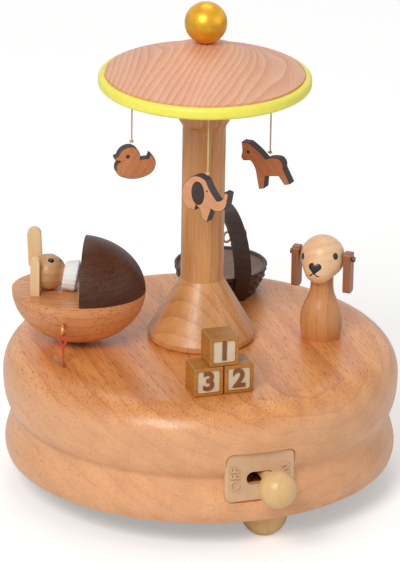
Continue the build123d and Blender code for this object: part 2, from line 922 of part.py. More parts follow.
def dog_head():
    head = dog_head_shape()
    for side in (-1, 1):
        head -= ear_nail(side, fit)
    return dog_frame() * head


def ear_inner():
    """The ear's inner face, measured sideways from the middle of the head."""
    return dog_head_r + dog_ear_gap


def ear_nail(side, extra=0.0):
    outer = ear_inner() + dog_ear_t + dog_ear_gap
    start = dog_head_r - nail_depth
    shank = bar_y(nail_r + extra, start, outer, 0.0, dog_nail_z())
    head = bar_y(nail_head_r, outer, outer + nail_head_t, 0.0, dog_nail_z())
    nail = shank + head
    return nail if side > 0 else mirror(nail, Plane.XZ)


def dog_ear_nails():
    return dog_frame() * (ear_nail(1) + ear_nail(-1))


def dog_ear(side):
    top = dog_nail_z() + dog_ear_pin_in
    mid = side * (ear_inner() + dog_ear_t / 2)
    flat = RectangleRounded(dog_ear_w, dog_ear_len, 1.0)
    ear = Pos(0, mid, top - dog_ear_len / 2) * extrude(Plane.XZ * flat, dog_ear_t / 2, both=True)
    hole = bar_y(nail_r + fit, mid - dog_ear_t, mid + dog_ear_t, 0.0, dog_nail_z())
    return dog_frame() * (ear - hole)


# ---------------------------------------------------------------- blocks and basket

def toy_block(x, z):
    cube = Pos(x, block_front + block / 2, z + block / 2) * Box(block, block, block)
    cube = fillet(cube.edges(), block_round)
    front = slab(x - panel / 2, x + panel / 2, block_front - 1.0, block_front + panel_d,
                 z + (block - panel) / 2, z + (block + panel) / 2)
    return cube - fillet(front.edges().filter_by(Axis.Y), 0.5)


def block_places():
    step = (block + block_gap) / 2
    return (
        (block_mid_x - step, z_top),
        (block_mid_x + step, z_top),
        (block_mid_x, z_top + block),
    )


def basket_bowl():
    bowl = turned(
        Polyline(
            (0, 0),
            (basket_foot_r, 0),
            basket_belly,
            (basket_rim_r, basket_h - basket_lip),
            (basket_rim_r, basket_h),
            (basket_rim_r - basket_lip, basket_h),
            (basket_rim_r - basket_lip, basket_h - basket_dish),
            (0, basket_h - basket_dish),
            (0, 0),
        )
    )
    bowl -= handle_band(0.02)
    return Pos(basket_x, basket_y, z_top) * bowl


def handle_band(extra=0.0):
    """A bent strap that runs down the bowl's sides to its foot."""
    outer_r = basket_rim_r + handle_t * 0.55
    inner_r = outer_r - handle_t
    rise = handle_top - basket_h
    arch = Ellipse(outer_r, rise) - Ellipse(inner_r, rise - handle_t)
    arch &= Pos(0, rise) * Rectangle(outer_r * 3, rise * 2)
    legs = Sketch()
    for side in (-1, 1):
        leg = Polyline(
            (side * outer_r, 0),
            (side * (basket_foot_r + handle_t * 0.55), -basket_h),
            (side * (basket_foot_r - handle_t * 0.45), -basket_h),
            (side * inner_r, 0),
            close=True,
        )
        legs += make_face(leg)
    band = extrude(Plane.XZ * (arch + legs), handle_w / 2 + extra, both=True)
    return Rot(0, 0, handle_turn) * Pos(0, 0, basket_h) * band


def basket_handle():
    return Pos(basket_x, basket_y, z_top) * handle_band()


def basket_bow():
    """A small tied bow inside the near leg of the handle."""
    rise = handle_top - basket_h - handle_t
    inner_r = basket_rim_r - handle_t * 0.45
    level = bow_up - basket_h
    reach = inner_r * math.sqrt(1 - (level / rise) ** 2) - bow_wire_r * 3
    knot = Sphere(bow_wire_r * 2)
    for side in (-1, 1):
        place = Pos(0, side * (bow_loop_r + 0.5), -bow_droop)
        knot += place * Rot(0, 90, 0) * Torus(bow_loop_r, bow_wire_r)
    turn = Rot(0, 0, handle_turn)
    return Pos(basket_x, basket_y, z_top) * turn * Pos(reach, 0, bow_up) * knot


# ---------------------------------------------------------------- movement

def fly_y():
    return cyl_start + cyl_len * 0.85


def fly_low_z():
    return gov_z + worm_pitch * worm_turns / 2 + 2.2


def bed_screw_places():
    side = bed_half - bed_screw_inset
    rear = bed_back - bed_screw_inset
    return ((-side, rear), (side, rear), (side, -bed_front + bed_front_inset))


def post_stations():
    """The two bearing posts of the cylinder, as (near, far) distances from the axis."""
    first = (barrel_r + 1.2, cyl_start - slip)
    gear_end = cyl_start + cyl_len + slip + gear_w
    second = (gear_end + slip, gear_end + slip + 1.6)
    return first, second


def movement_bedplate():
    bed = slab(-bed_half, bed_half, -bed_front, bed_back, z_cover, z_bed)
    bed = fillet(bed.edges().filter_by(Axis.Z), bed_round)
    for near, far in post_stations():
        bed += slab(-3.0, 3.0, -far, -near, z_bed, z_cyl + 2.4)
    stand_z = z_cyl - comb_t / 2
    bed += slab(comb_root(), comb_root() + comb_stand, -(cyl_start + cyl_len), -cyl_start, z_bed, stand_z)
    bed -= bar_y(cyl_arbor_r + fit, -bed_front, 0.0, 0.0, z_cyl)
    bed -= disc(arbor_r + fit, z_cover, z_bed)
    for x, y in bed_screw_places():
        bed -= disc(wood_screw_r + fit, z_cover, z_bed, x, y)
    for x, y in comb_screw_places():
        bed -= disc(wood_screw_r, stand_z - 5.0, stand_z, x, y)
    return bed


def movement_screws():
    body = Part()
    for x, y in bed_screw_places():
        one = screw(wood_screw_head_r, wood_screw_head_t, wood_screw_r, cover_t + bed_t)
        body += Pos(x, y, z_base) * one
    return body


def spring_barrel():
    barrel = disc(barrel_r, z_barrel, z_crown)
    barrel -= disc(barrel_r - barrel_wall, z_barrel + barrel_wall, z_crown - barrel_wall)
    barrel -= disc(arbor_r + fit, z_barrel, z_crown - barrel_wall)
    teeth = Sketch() + PolarLocations(crown_r, crown_teeth) * Rectangle(2.0, tooth_w)
    return barrel + Pos(0, 0, z_crown) * extrude(teeth, crown_tooth_h)


def mainspring():
    """A wound strip of half-turn arcs on two centres."""
    inner = arbor_r + slip + spring_t
    step = spring_pitch / 2
    edges = []
    half = spring_t / 2
    last = spring_turns * 2
    for offset, order in ((-half, range(last)), (half, reversed(range(last)))):
        for n in order:
            radius = inner + n * step
            centre = step / 2 * (1 if n % 2 else -1)
            start = 180 if n % 2 else 0
            edges.append(CenterArc((centre, 0), radius + offset, start, 180))
    first = inner - step / 2
    reach = inner + (last - 1) * step
    tail = -(reach - step / 2) if (last - 1) % 2 == 0 else reach + step / 2
    edges.append(Line((first - half, 0), (first + half, 0)))
    edges.append(Line((tail - half, 0), (tail + half, 0)))
    face = make_face(Curve() + edges)
    height = barrel_h - 2 * barrel_wall - 2 * slip
    return Pos(0, 0, z_barrel + barrel_wall + slip) * extrude(face, height)


def winding_arbor():
    shaft = disc(arbor_r, z_cover - slip, z_crown - barrel_wall - slip)
    return shaft + disc(key_shank_r, z_base - key_top_drop, z_cover - slip)


def winding_key():
    low_z = key_gap
    half = key_wing_t / 2
    wing = slab(-key_wing_w / 2, key_wing_w / 2, -half, half, low_z, low_z + key_wing_h)
    wing = fillet(wing.edges().filter_by(Axis.Y), key_wing_h * 0.45)
    for side in (-1, 1):
        wing -= bar_y(1.2, -key_wing_t, key_wing_t, side * key_wing_w * 0.33, low_z + key_wing_h / 2)
    hub = disc(key_shank_r, low_z, z_base - key_top_drop)
    return wing + hub


def cylinder_arbor():
    """Arbor, pinion and drive gear of the pinned cylinder."""
    _, second = post_stations()
    pinion_y = crown_r - pinion_w / 2
    body = bar_y(cyl_arbor_r, -second[1], -pinion_y, 0.0, z_cyl)
    phase = -90 + 180 / pinion_teeth
    inner_r = cyl_arbor_r * 0.5
    pinion = gear(pinion_teeth, pinion_pitch_r, mesh_depth - 0.1, pinion_w, inner_r, phase)
    body += Pos(0, -pinion_y, z_cyl) * Rot(90, 0, 0) * pinion
    wheel = gear(gear_teeth, gear_pitch_r, gear_addendum, gear_w, inner_r, 180 + gov_angle)
    body += Pos(0, -(cyl_start + cyl_len + slip), z_cyl) * Rot(90, 0, 0) * wheel
    return body


def pin_cylinder():
    body = bar_y(cyl_r, -(cyl_start + cyl_len), -cyl_start, 0.0, z_cyl)
    body -= bar_y(cyl_arbor_r, -(cyl_start + cyl_len), -cyl_start, 0.0, z_cyl)
    pins = []
    for note in range(notes):
        y = -(cyl_start + (note + 0.5) * cyl_len / notes)
        for turn in range(pins_per_note):
            angle = pin_step * (note * pins_per_note + turn * 5) + note * 7.0
            place = Pos(0, y, z_cyl) * Rot(0, angle, 0) * Pos(0, 0, cyl_r - 0.3)
            pins.append(place * Cylinder(pin_r, pin_h + 0.3, align=low))
    return body + pins


def comb_root():
    return cyl_r + pin_h + comb_tip_gap + comb_len - comb_stand


def comb_screw_places():
    x = comb_root() + comb_stand / 2
    return ((x, -(cyl_start + 3.0)), (x, -(cyl_start + cyl_len - 3.0)))


def comb():
    tip = cyl_r + pin_h + comb_tip_gap
    flat = Pos(tip + comb_len / 2, -(cyl_start + cyl_len / 2)) * Rectangle(comb_len, cyl_len)
    for note in range(1, notes):
        y = -(cyl_start + note * cyl_len / notes)
        flat -= Pos(tip + tine_len / 2 - 0.5, y) * Rectangle(tine_len + 1.0, tine_slit)
    plate = Pos(0, 0, z_cyl - comb_t / 2) * extrude(flat, comb_t)
    for x, y in comb_screw_places():
        plate -= disc(wood_screw_r + fit, z_cyl - comb_t, z_cyl + comb_t, x, y)
    return plate


def comb_screws():
    body = Part()
    for x, y in comb_screw_places():
        one = screw(wood_screw_head_r, wood_screw_head_t, wood_screw_r - fit, comb_t + 4.0)
        body += Pos(x, y, z_cyl + comb_t / 2) * Rot(180, 0, 0) * one
    return body


def governor_wheel():
    """The governor's first arbor, with its pinion and the wheel that turns the worm."""
    gear_y = cyl_start + cyl_len + slip
    near = fly_y() - 2.4
    far = gear_y + gear_w + slip + 1.6
    body = bar_y(gov_arbor_r, -far, -near, gov_x, gov_z)
    pinion = gear(gov_pinion_teeth, gov_pinion_pitch_r, gear_addendum, gear_w, 0.3,
                  gov_angle + 180 / gov_pinion_teeth)
    body += Pos(gov_x, -gear_y, gov_z) * Rot(90, 0, 0) * pinion
    wheel = gear(worm_teeth, worm_wheel_pitch_r, worm_reach, 1.0, 0.3, 0.0)
    return body + Pos(gov_x, -(fly_y() - 0.5), gov_z) * Rot(90, 0, 0) * wheel


def fly_worm():
    """The upright fly arbor with its worm thread and two air vanes."""
    y = -fly_y()
    length = worm_pitch * worm_turns
    core = disc(worm_core_r, gov_z - length / 2 - 0.6, gov_z + length / 2 + 0.6, fly_x, y)
    core += disc(fly_pivot_r, z_bed + 1.3, fly_low_z() + fly_h + 1.0, fly_x, y)
    path = Helix(worm_pitch, length, worm_core_r)
    rise = worm_r - worm_core_r
    start = Plane(path @ 0, x_dir=(1, 0, 0), z_dir=path % 0)
    section = start * Pos(rise / 2 - 0.1, 0) * Rectangle(rise + 0.2, worm_thread_w)
    thread = sweep(section, path=path, is_frenet=True)
    core += Pos(fly_x, y, gov_z - length / 2) * thread
    vane = slab(-fly_r, fly_r, -fly_t / 2, fly_t / 2, 0.0, fly_h)
    return core + Pos(fly_x, y, fly_low_z()) * vane


def governor_frame():
    """The bracket that carries the governor's arbor and the fly's two pivots."""
    y = -fly_y()
    gear_y = cyl_start + cyl_len + slip + gear_w
    near = fly_y() - 2.2
    far = gear_y + slip
    body = slab(fly_x - 6.5, gov_x + 2.0, -far - frame_t, -near + frame_t, z_bed, z_bed + 1.2)
    for y0, y1 in ((-near, -near + frame_t), (-far - frame_t, -far)):
        body += slab(gov_x - 2.0, gov_x + 2.0, y0, y1, z_bed, gov_z + 1.8)
        body -= bar_y(gov_arbor_r + fit, y0 - 0.1, y1 + 0.1, gov_x, gov_z)
    top = fly_low_z() + fly_h + 0.4
    body += slab(fly_x - 6.5, fly_x - fly_r - 0.6, y - 1.5, y + 1.5, z_bed, top + 1.0)
    body += slab(fly_x - 6.5, fly_x + 1.2, y - 1.5, y + 1.5, top, top + 1.0)
    body -= disc(fly_pivot_r + fit, top - 0.5, top + 1.5, fly_x, y)
    return body


def rocker_cam():
    """A face cam on the spindle, below the lever's inner end."""
    z = z_top + lever_up - lever_t - cam_gap - cam_lobe_h - cam_t
    cam = disc(cam_r, z, z + cam_t)
    lobes = Sketch() + PolarLocations(cam_r - cam_lobe_r - 0.1, cam_lobes) * Circle(cam_lobe_r)
    cam += Pos(0, 0, z + cam_t) * extrude(lobes, cam_lobe_h)
    cam += disc(2.6, z - 1.0, z + cam_t)
    return cam - disc(shaft_r + fit / 2, z - 2.0, z + cam_t + 1.0)


def save(name, solid):
    solid.label = name
    export_step(solid, "parts/" + name + ".step")


def main():
    os.makedirs("parts", exist_ok=True)
    pieces = {
        "base_body": base_body(),
        "bottom_cover": bottom_cover(),
        "cover_screws": cover_screw_set(),
        "foot_screws": foot_screw_set(),
        "column": column(),
        "column_bushes": column_bushes(),
        "canopy_dome": canopy_dome(),
        "canopy_ring": canopy_ring(),
        "finial_ball": finial_ball(),
        "spindle": spindle(),
        "duck_plate": duck_plate(),
        "duck_thread": figure_thread(hang_turn[2], duck_up),
        "elephant_plate": elephant_plate(),
        "elephant_thread": figure_thread(hang_turn[0], elephant_up),
        "horse_plate": horse_plate(),
        "horse_thread": figure_thread(hang_turn[1], horse_up),
        "cradle_bowl": cradle_bowl(),
        "cradle_hood": cradle_hood(),
        "cradle_pin": cradle_pin(),
        "cradle_post": cradle_post(),
        "screw_eye": screw_eye(),
        "rabbit_head": rabbit_head(),
        "rabbit_ears": rabbit_ears(),
        "rabbit_collar": rabbit_collar(),
        "rabbit_blanket": rabbit_blanket(),
        "pull_string": pull_string(),
        "pull_lever": pull_lever(),
        "lever_bracket": lever_bracket(),
        "switch_plate": switch_plate(),
        "switch_knob": switch_knob(),
        "stop_slider": stop_slider(),
        "dog_body": dog_body(),
        "dog_head": dog_head(),
        "dog_ear_nails": dog_ear_nails(),
        "dog_ear_left": dog_ear(1),
        "dog_ear_right": dog_ear(-1),
        "basket_bowl": basket_bowl(),
        "basket_handle": basket_handle(),
        "basket_bow": basket_bow(),
        "movement_bedplate": movement_bedplate(),
        "movement_screws": movement_screws(),
        "spring_barrel": spring_barrel(),
        "mainspring": mainspring(),
        "winding_arbor": winding_arbor(),
        "winding_key": winding_key(),
        "cylinder_arbor": cylinder_arbor(),
        "pin_cylinder": pin_cylinder(),
        "comb": comb(),
        "comb_screws": comb_screws(),
        "governor_frame": governor_frame(),
        "governor_wheel": governor_wheel(),
        "fly_worm": fly_worm(),
        "rocker_cam": rocker_cam(),
    }
    for number, angle in enumerate(foot_angles(), start=1):
        pieces[f"ball_foot_{number}"] = ball_foot(angle)
    for number, (x, z) in enumerate(block_places(), start=1):
        pieces[f"toy_block_{number}"] = toy_block(x, z)
    for name, solid in pieces.items():
        save(name, Pos(0, axis_back, 0) * solid)


main()
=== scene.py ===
import math

import bmesh
import bpy
from mathutils import Matrix, Vector
from mathutils.bvhtree import BVHTree


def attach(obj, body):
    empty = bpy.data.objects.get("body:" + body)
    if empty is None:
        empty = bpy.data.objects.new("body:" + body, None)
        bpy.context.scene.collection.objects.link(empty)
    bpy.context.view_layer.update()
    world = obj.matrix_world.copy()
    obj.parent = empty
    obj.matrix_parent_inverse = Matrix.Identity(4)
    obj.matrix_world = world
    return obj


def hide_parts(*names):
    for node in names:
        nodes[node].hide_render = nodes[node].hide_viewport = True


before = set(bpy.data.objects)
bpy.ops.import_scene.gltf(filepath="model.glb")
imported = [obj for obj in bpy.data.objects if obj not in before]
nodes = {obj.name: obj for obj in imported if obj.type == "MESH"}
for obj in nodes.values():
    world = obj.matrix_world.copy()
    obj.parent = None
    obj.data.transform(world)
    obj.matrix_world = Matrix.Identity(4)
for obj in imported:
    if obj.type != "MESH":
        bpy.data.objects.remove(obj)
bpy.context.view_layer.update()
mm = 0.001
# The column's axis stands this far behind the origin, and the base's top this high
axisBack = 6.525
baseTop = 43.0


def link(name, data):
    made = bpy.data.objects.new(name, data)
    bpy.context.scene.collection.objects.link(made)
    return made


# Camera at the photograph's place, with a long lens

cameraView = {
    "azimuth": -18.0,
    "elevation": 22.765,
    "distance": 1.3047,
    "target": (0.0, 0.006525, 0.03236),
    "aim": (-0.0005, 0.006725, 0.0600),
    "roll": 0.901,
    "lens": 287.17,
    "sensor": 36.0,
    "photo": (400, 562),
}


def makeCamera():
    azimuth = math.radians(cameraView["azimuth"])
    elevation = math.radians(cameraView["elevation"])
    away = Vector((math.sin(azimuth) * math.cos(elevation),
                   -math.cos(azimuth) * math.cos(elevation),
                   math.sin(elevation)))
    place = Vector(cameraView["target"]) + away * cameraView["distance"]
    look = (Vector(cameraView["aim"]) - place).to_track_quat("-Z", "Y").to_matrix()
    look = look @ Matrix.Rotation(math.radians(cameraView["roll"]), 3, "Z")
    data = bpy.data.cameras.new("camera")
    data.lens = cameraView["lens"]
    data.sensor_width = cameraView["sensor"]
    data.clip_start = 0.01
    camera = link("camera", data)
    camera.matrix_world = Matrix.Translation(place) @ look.to_4x4()
    bpy.context.scene.camera = camera
    return camera


camera = makeCamera()
print("camera placed")


# Small helpers for meshes and shader nodes

def tint(red, green, blue):
    # Screen colour 0 to 255 into the linear colour that sockets take
    def linear(value):
        value = value / 255.0
        return value / 12.92 if value <= 0.04045 else ((value + 0.055) / 1.055) ** 2.4
    return (linear(red), linear(green), linear(blue), 1.0)


def addNode(tree, kind, settings=None, feeds=None):
    made = tree.nodes.new(kind)
    for name, value in (settings or {}).items():
        setattr(made, name, value)
    for socket, value in (feeds or {}).items():
        plug(tree, made.inputs[socket], value)
    return made


def plug(tree, target, value):
    if isinstance(value, bpy.types.NodeSocket):
        tree.links.new(value, target)
    else:
        target.default_value = value


def calc(tree, operation, first, second=0.0, clamp=False):
    settings = {"operation": operation, "use_clamp": clamp}
    return addNode(tree, "ShaderNodeMath", settings, {0: first, 1: second}).outputs[0]


def plus(tree, first, second):
    return calc(tree, "ADD", first, second)


def minus(tree, first, second):
    return calc(tree, "SUBTRACT", first, second)


def times(tree, first, second):
    return calc(tree, "MULTIPLY", first, second)


def blendColours(tree, amount, first, second):
    made = addNode(tree, "ShaderNodeMix", {"data_type": "RGBA"})
    plug(tree, made.inputs[0], amount)
    plug(tree, made.inputs[6], first)
    plug(tree, made.inputs[7], second)
    return made.outputs[2]


def spread(tree, value, low, high, toLow=0.0, toHigh=1.0, shape="SMOOTHSTEP"):
    return addNode(tree, "ShaderNodeMapRange", {"interpolation_type": shape},
                   {0: value, 1: low, 2: high, 3: toLow, 4: toHigh}).outputs[0]


def stretched(tree, vector, factors):
    return addNode(tree, "ShaderNodeVectorMath", {"operation": "MULTIPLY"},
                   {0: vector, 1: factors}).outputs[0]


def noise(tree, vector, scale=1.0, detail=2.0, rough=0.5):
    return addNode(tree, "ShaderNodeTexNoise", None,
                   {"Vector": vector, "Scale": scale, "Detail": detail, "Roughness": rough}).outputs[0]


def newGroup(name, kind, inputs, outputs):
    tree = bpy.data.node_groups.new(name, kind)
    for label, socketType, value in inputs:
        socket = tree.interface.new_socket(label, in_out="INPUT", socket_type=socketType)
        if value is not None:
            socket.default_value = value
    for label, socketType in outputs:
        tree.interface.new_socket(label, in_out="OUTPUT", socket_type=socketType)
    return tree, tree.nodes.new("NodeGroupInput"), tree.nodes.new("NodeGroupOutput")


# Wood as growth rings round a log's axis, with fibres and short dark flecks along it

# Noise scales along and across the grain, per millimetre
woodMarks = {"sway": (0.012, 0.045, 0.045), "fibre": (0.07, 2.4, 2.4), "tone": (0.02, 0.16, 0.16),
             "fleckFine": 3.6}
woodColours = {"light": "Light", "dark": "Dark", "fleck": "Fleck"}
woodSizes = {"ring": "Ring Spacing", "rings": "Ring Strength", "power": "Ring Power", "wobble": "Wobble",
             "fibres": "Fibre Strength", "tone": "Tone Strength", "flecks": "Fleck Amount",
             "fleckLength": "Fleck Length"}


def makeWoodGroup():
    inputs = [("Grain Vector", "NodeSocketVector", None)]
    inputs += [(label, "NodeSocketColor", None) for label in woodColours.values()]
    inputs += [(label, "NodeSocketFloat", None) for label in woodSizes.values()]
    tree, given, out = newGroup("woodGrain", "ShaderNodeTree", inputs, [
        ("Color", "NodeSocketColor"), ("Fibre", "NodeSocketFloat"), ("Height", "NodeSocketFloat")])
    g = given.outputs
    vector = g["Grain Vector"]

    def grainNoise(kind, detail=2.0, rough=0.5):
        return noise(tree, stretched(tree, vector, woodMarks[kind]), 1.0, detail, rough)

    sway = times(tree, minus(tree, grainNoise("sway"), 0.5), g["Wobble"])
    parts = addNode(tree, "ShaderNodeSeparateXYZ", None, {0: vector}).outputs
    across = plus(tree, times(tree, parts[1], parts[1]), times(tree, parts[2], parts[2]))
    radius = plus(tree, calc(tree, "SQRT", across), sway)
    ring = calc(tree, "FRACT", calc(tree, "DIVIDE", radius, g["Ring Spacing"]))
    late = times(tree, calc(tree, "POWER", ring, g["Ring Power"]), spread(tree, ring, 1.0, 0.93))
    fibre = grainNoise("fibre", 3.0, 0.6)
    amount = times(tree, late, g["Ring Strength"])
    amount = plus(tree, amount, times(tree, minus(tree, fibre, 0.45), g["Fibre Strength"]))
    amount = plus(tree, amount, times(tree, minus(tree, grainNoise("tone"), 0.42), g["Tone Strength"]))
    amount = calc(tree, "ADD", amount, 0.25, True)
    colour = blendColours(tree, amount, g["Light"], g["Dark"])
    fine = woodMarks["fleckFine"]
    along = calc(tree, "DIVIDE", 1.0, g["Fleck Length"])
    fleckScale = addNode(tree, "ShaderNodeCombineXYZ", None, {0: along, 1: fine, 2: fine}).outputs[0]
    fleck = spread(tree, noise(tree, stretched(tree, vector, fleckScale), 1.0, 0.0), 0.655, 0.74)
    fleck = times(tree, fleck, g["Fleck Amount"])
    height = minus(tree, minus(tree, times(tree, fibre, 0.35), fleck), times(tree, late, 0.15))
    tree.links.new(blendColours(tree, fleck, colour, g["Fleck"]), out.inputs["Color"])
    tree.links.new(fibre, out.inputs["Fibre"])
    tree.links.new(height, out.inputs["Height"])
    return tree


woodGrain = makeWoodGroup()


def newMaterial(name):
    material = bpy.data.materials.new(name)
    material.use_nodes = True
    material.node_tree.nodes.clear()
    tree = material.node_tree
    shader = addNode(tree, "ShaderNodeBsdfPrincipled")
    out = addNode(tree, "ShaderNodeOutputMaterial")
    tree.links.new(shader.outputs[0], out.inputs[0])
    return material, tree, shader


def bump(tree, shader, height, depth, strength=1.0):
    made = addNode(tree, "ShaderNodeBump", None,
                   {"Height": height, "Distance": depth, "Strength": strength})
    tree.links.new(made.outputs[0], shader.inputs["Normal"])


def objectVector(tree, centre=(0, 0, 0), turn=(0, 0, 0)):
    # Object coordinates in millimetres, from a centre, with X along the grain
    coords = addNode(tree, "ShaderNodeTexCoord").outputs["Object"]
    turn = tuple(math.radians(a) for a in turn)
    return addNode(tree, "ShaderNodeMapping", {"vector_type": "TEXTURE"},
                   {"Vector": coords, "Location": centre, "Rotation": turn,
                    "Scale": (mm, mm, mm)}).outputs[0]


def woodMaterial(name, wood, toneAndSheenTree=None):
    material, tree, shader = newMaterial(name)
    wood = {**plainWood, **wood}
    vector = objectVector(tree, wood["centre"], wood["turn"])
    feeds = {"Grain Vector": vector}
    feeds.update({label: tint(*wood[key]) for key, label in woodColours.items()})
    feeds.update({label: wood[key] for key, label in woodSizes.items()})
    grain = addNode(tree, "ShaderNodeGroup", {"node_tree": woodGrain}, feeds)
    colour = grain.outputs["Color"]
    # A stave tone, or painted sheen, laid over the grain's colour
    if toneAndSheenTree:
        colour = toneAndSheenTree(tree, colour)
    tree.links.new(colour, shader.inputs["Base Color"])
    rough = spread(tree, grain.outputs["Fibre"], 0.2, 0.8, wood["smooth"], wood["smooth"] + 0.16, "LINEAR")
    tree.links.new(rough, shader.inputs["Roughness"])
    shader.inputs["Coat Weight"].default_value = wood["varnish"]
    shader.inputs["Coat Roughness"].default_value = 0.22
    shader.inputs["Specular IOR Level"].default_value = wood["gloss"]
    bump(tree, shader, grain.outputs["Height"], 0.00006, 0.6)
    return material


def metalMaterial(name, colour, rough, brushed=(1.0, 1.0, 1.0), depth=0.00002):
    material, tree, shader = newMaterial(name)
    vector = stretched(tree, objectVector(tree), brushed)
    scratch = noise(tree, vector, 2.0, 4.0, 0.65)
    cloud = noise(tree, objectVector(tree), 0.35, 2.0)
    dark = tuple(c * 0.78 for c in colour[:3]) + (1.0,)
    tree.links.new(blendColours(tree, cloud, dark, colour), shader.inputs["Base Color"])
    shader.inputs["Metallic"].default_value = 1.0
    tree.links.new(spread(tree, scratch, 0.25, 0.75, rough - 0.07, rough + 0.1, "LINEAR"),
                   shader.inputs["Roughness"])
    bump(tree, shader, scratch, depth, 0.5)
    return material


def paintMaterial(name, colour, rough, speckle=0.06, metallic=0.0, grainSize=2.0, depth=0.00002):
    # Brushed or moulded colour with faint clouding, specks and an uneven surface
    material, tree, shader = newMaterial(name)
    vector = objectVector(tree)
    cloud = noise(tree, vector, 0.4, 3.0)
    fine = noise(tree, vector, grainSize, 3.0, 0.6)
    dark = tuple(c * (1.0 - speckle * 4) for c in colour[:3]) + (1.0,)
    mottled = blendColours(tree, spread(tree, cloud, 0.3, 0.75), colour, dark)
    mottled = blendColours(tree, spread(tree, fine, 0.60, 0.80, 0.0, speckle * 6), mottled, dark)
    tree.links.new(mottled, shader.inputs["Base Color"])
    shader.inputs["Metallic"].default_value = metallic
    tree.links.new(spread(tree, fine, 0.2, 0.8, rough - 0.05, rough + 0.08, "LINEAR"),
                   shader.inputs["Roughness"])
    bump(tree, shader, fine, depth, 0.6)
    return material


def dress(material, names):
    for name in names:
        mesh = nodes[name].data
        mesh.materials.clear()
        mesh.materials.append(material)
        for polygon in mesh.polygons:
            polygon.use_smooth = True


# Materials: the woods, each with what differs from the plain one, then paint, metal and plastic

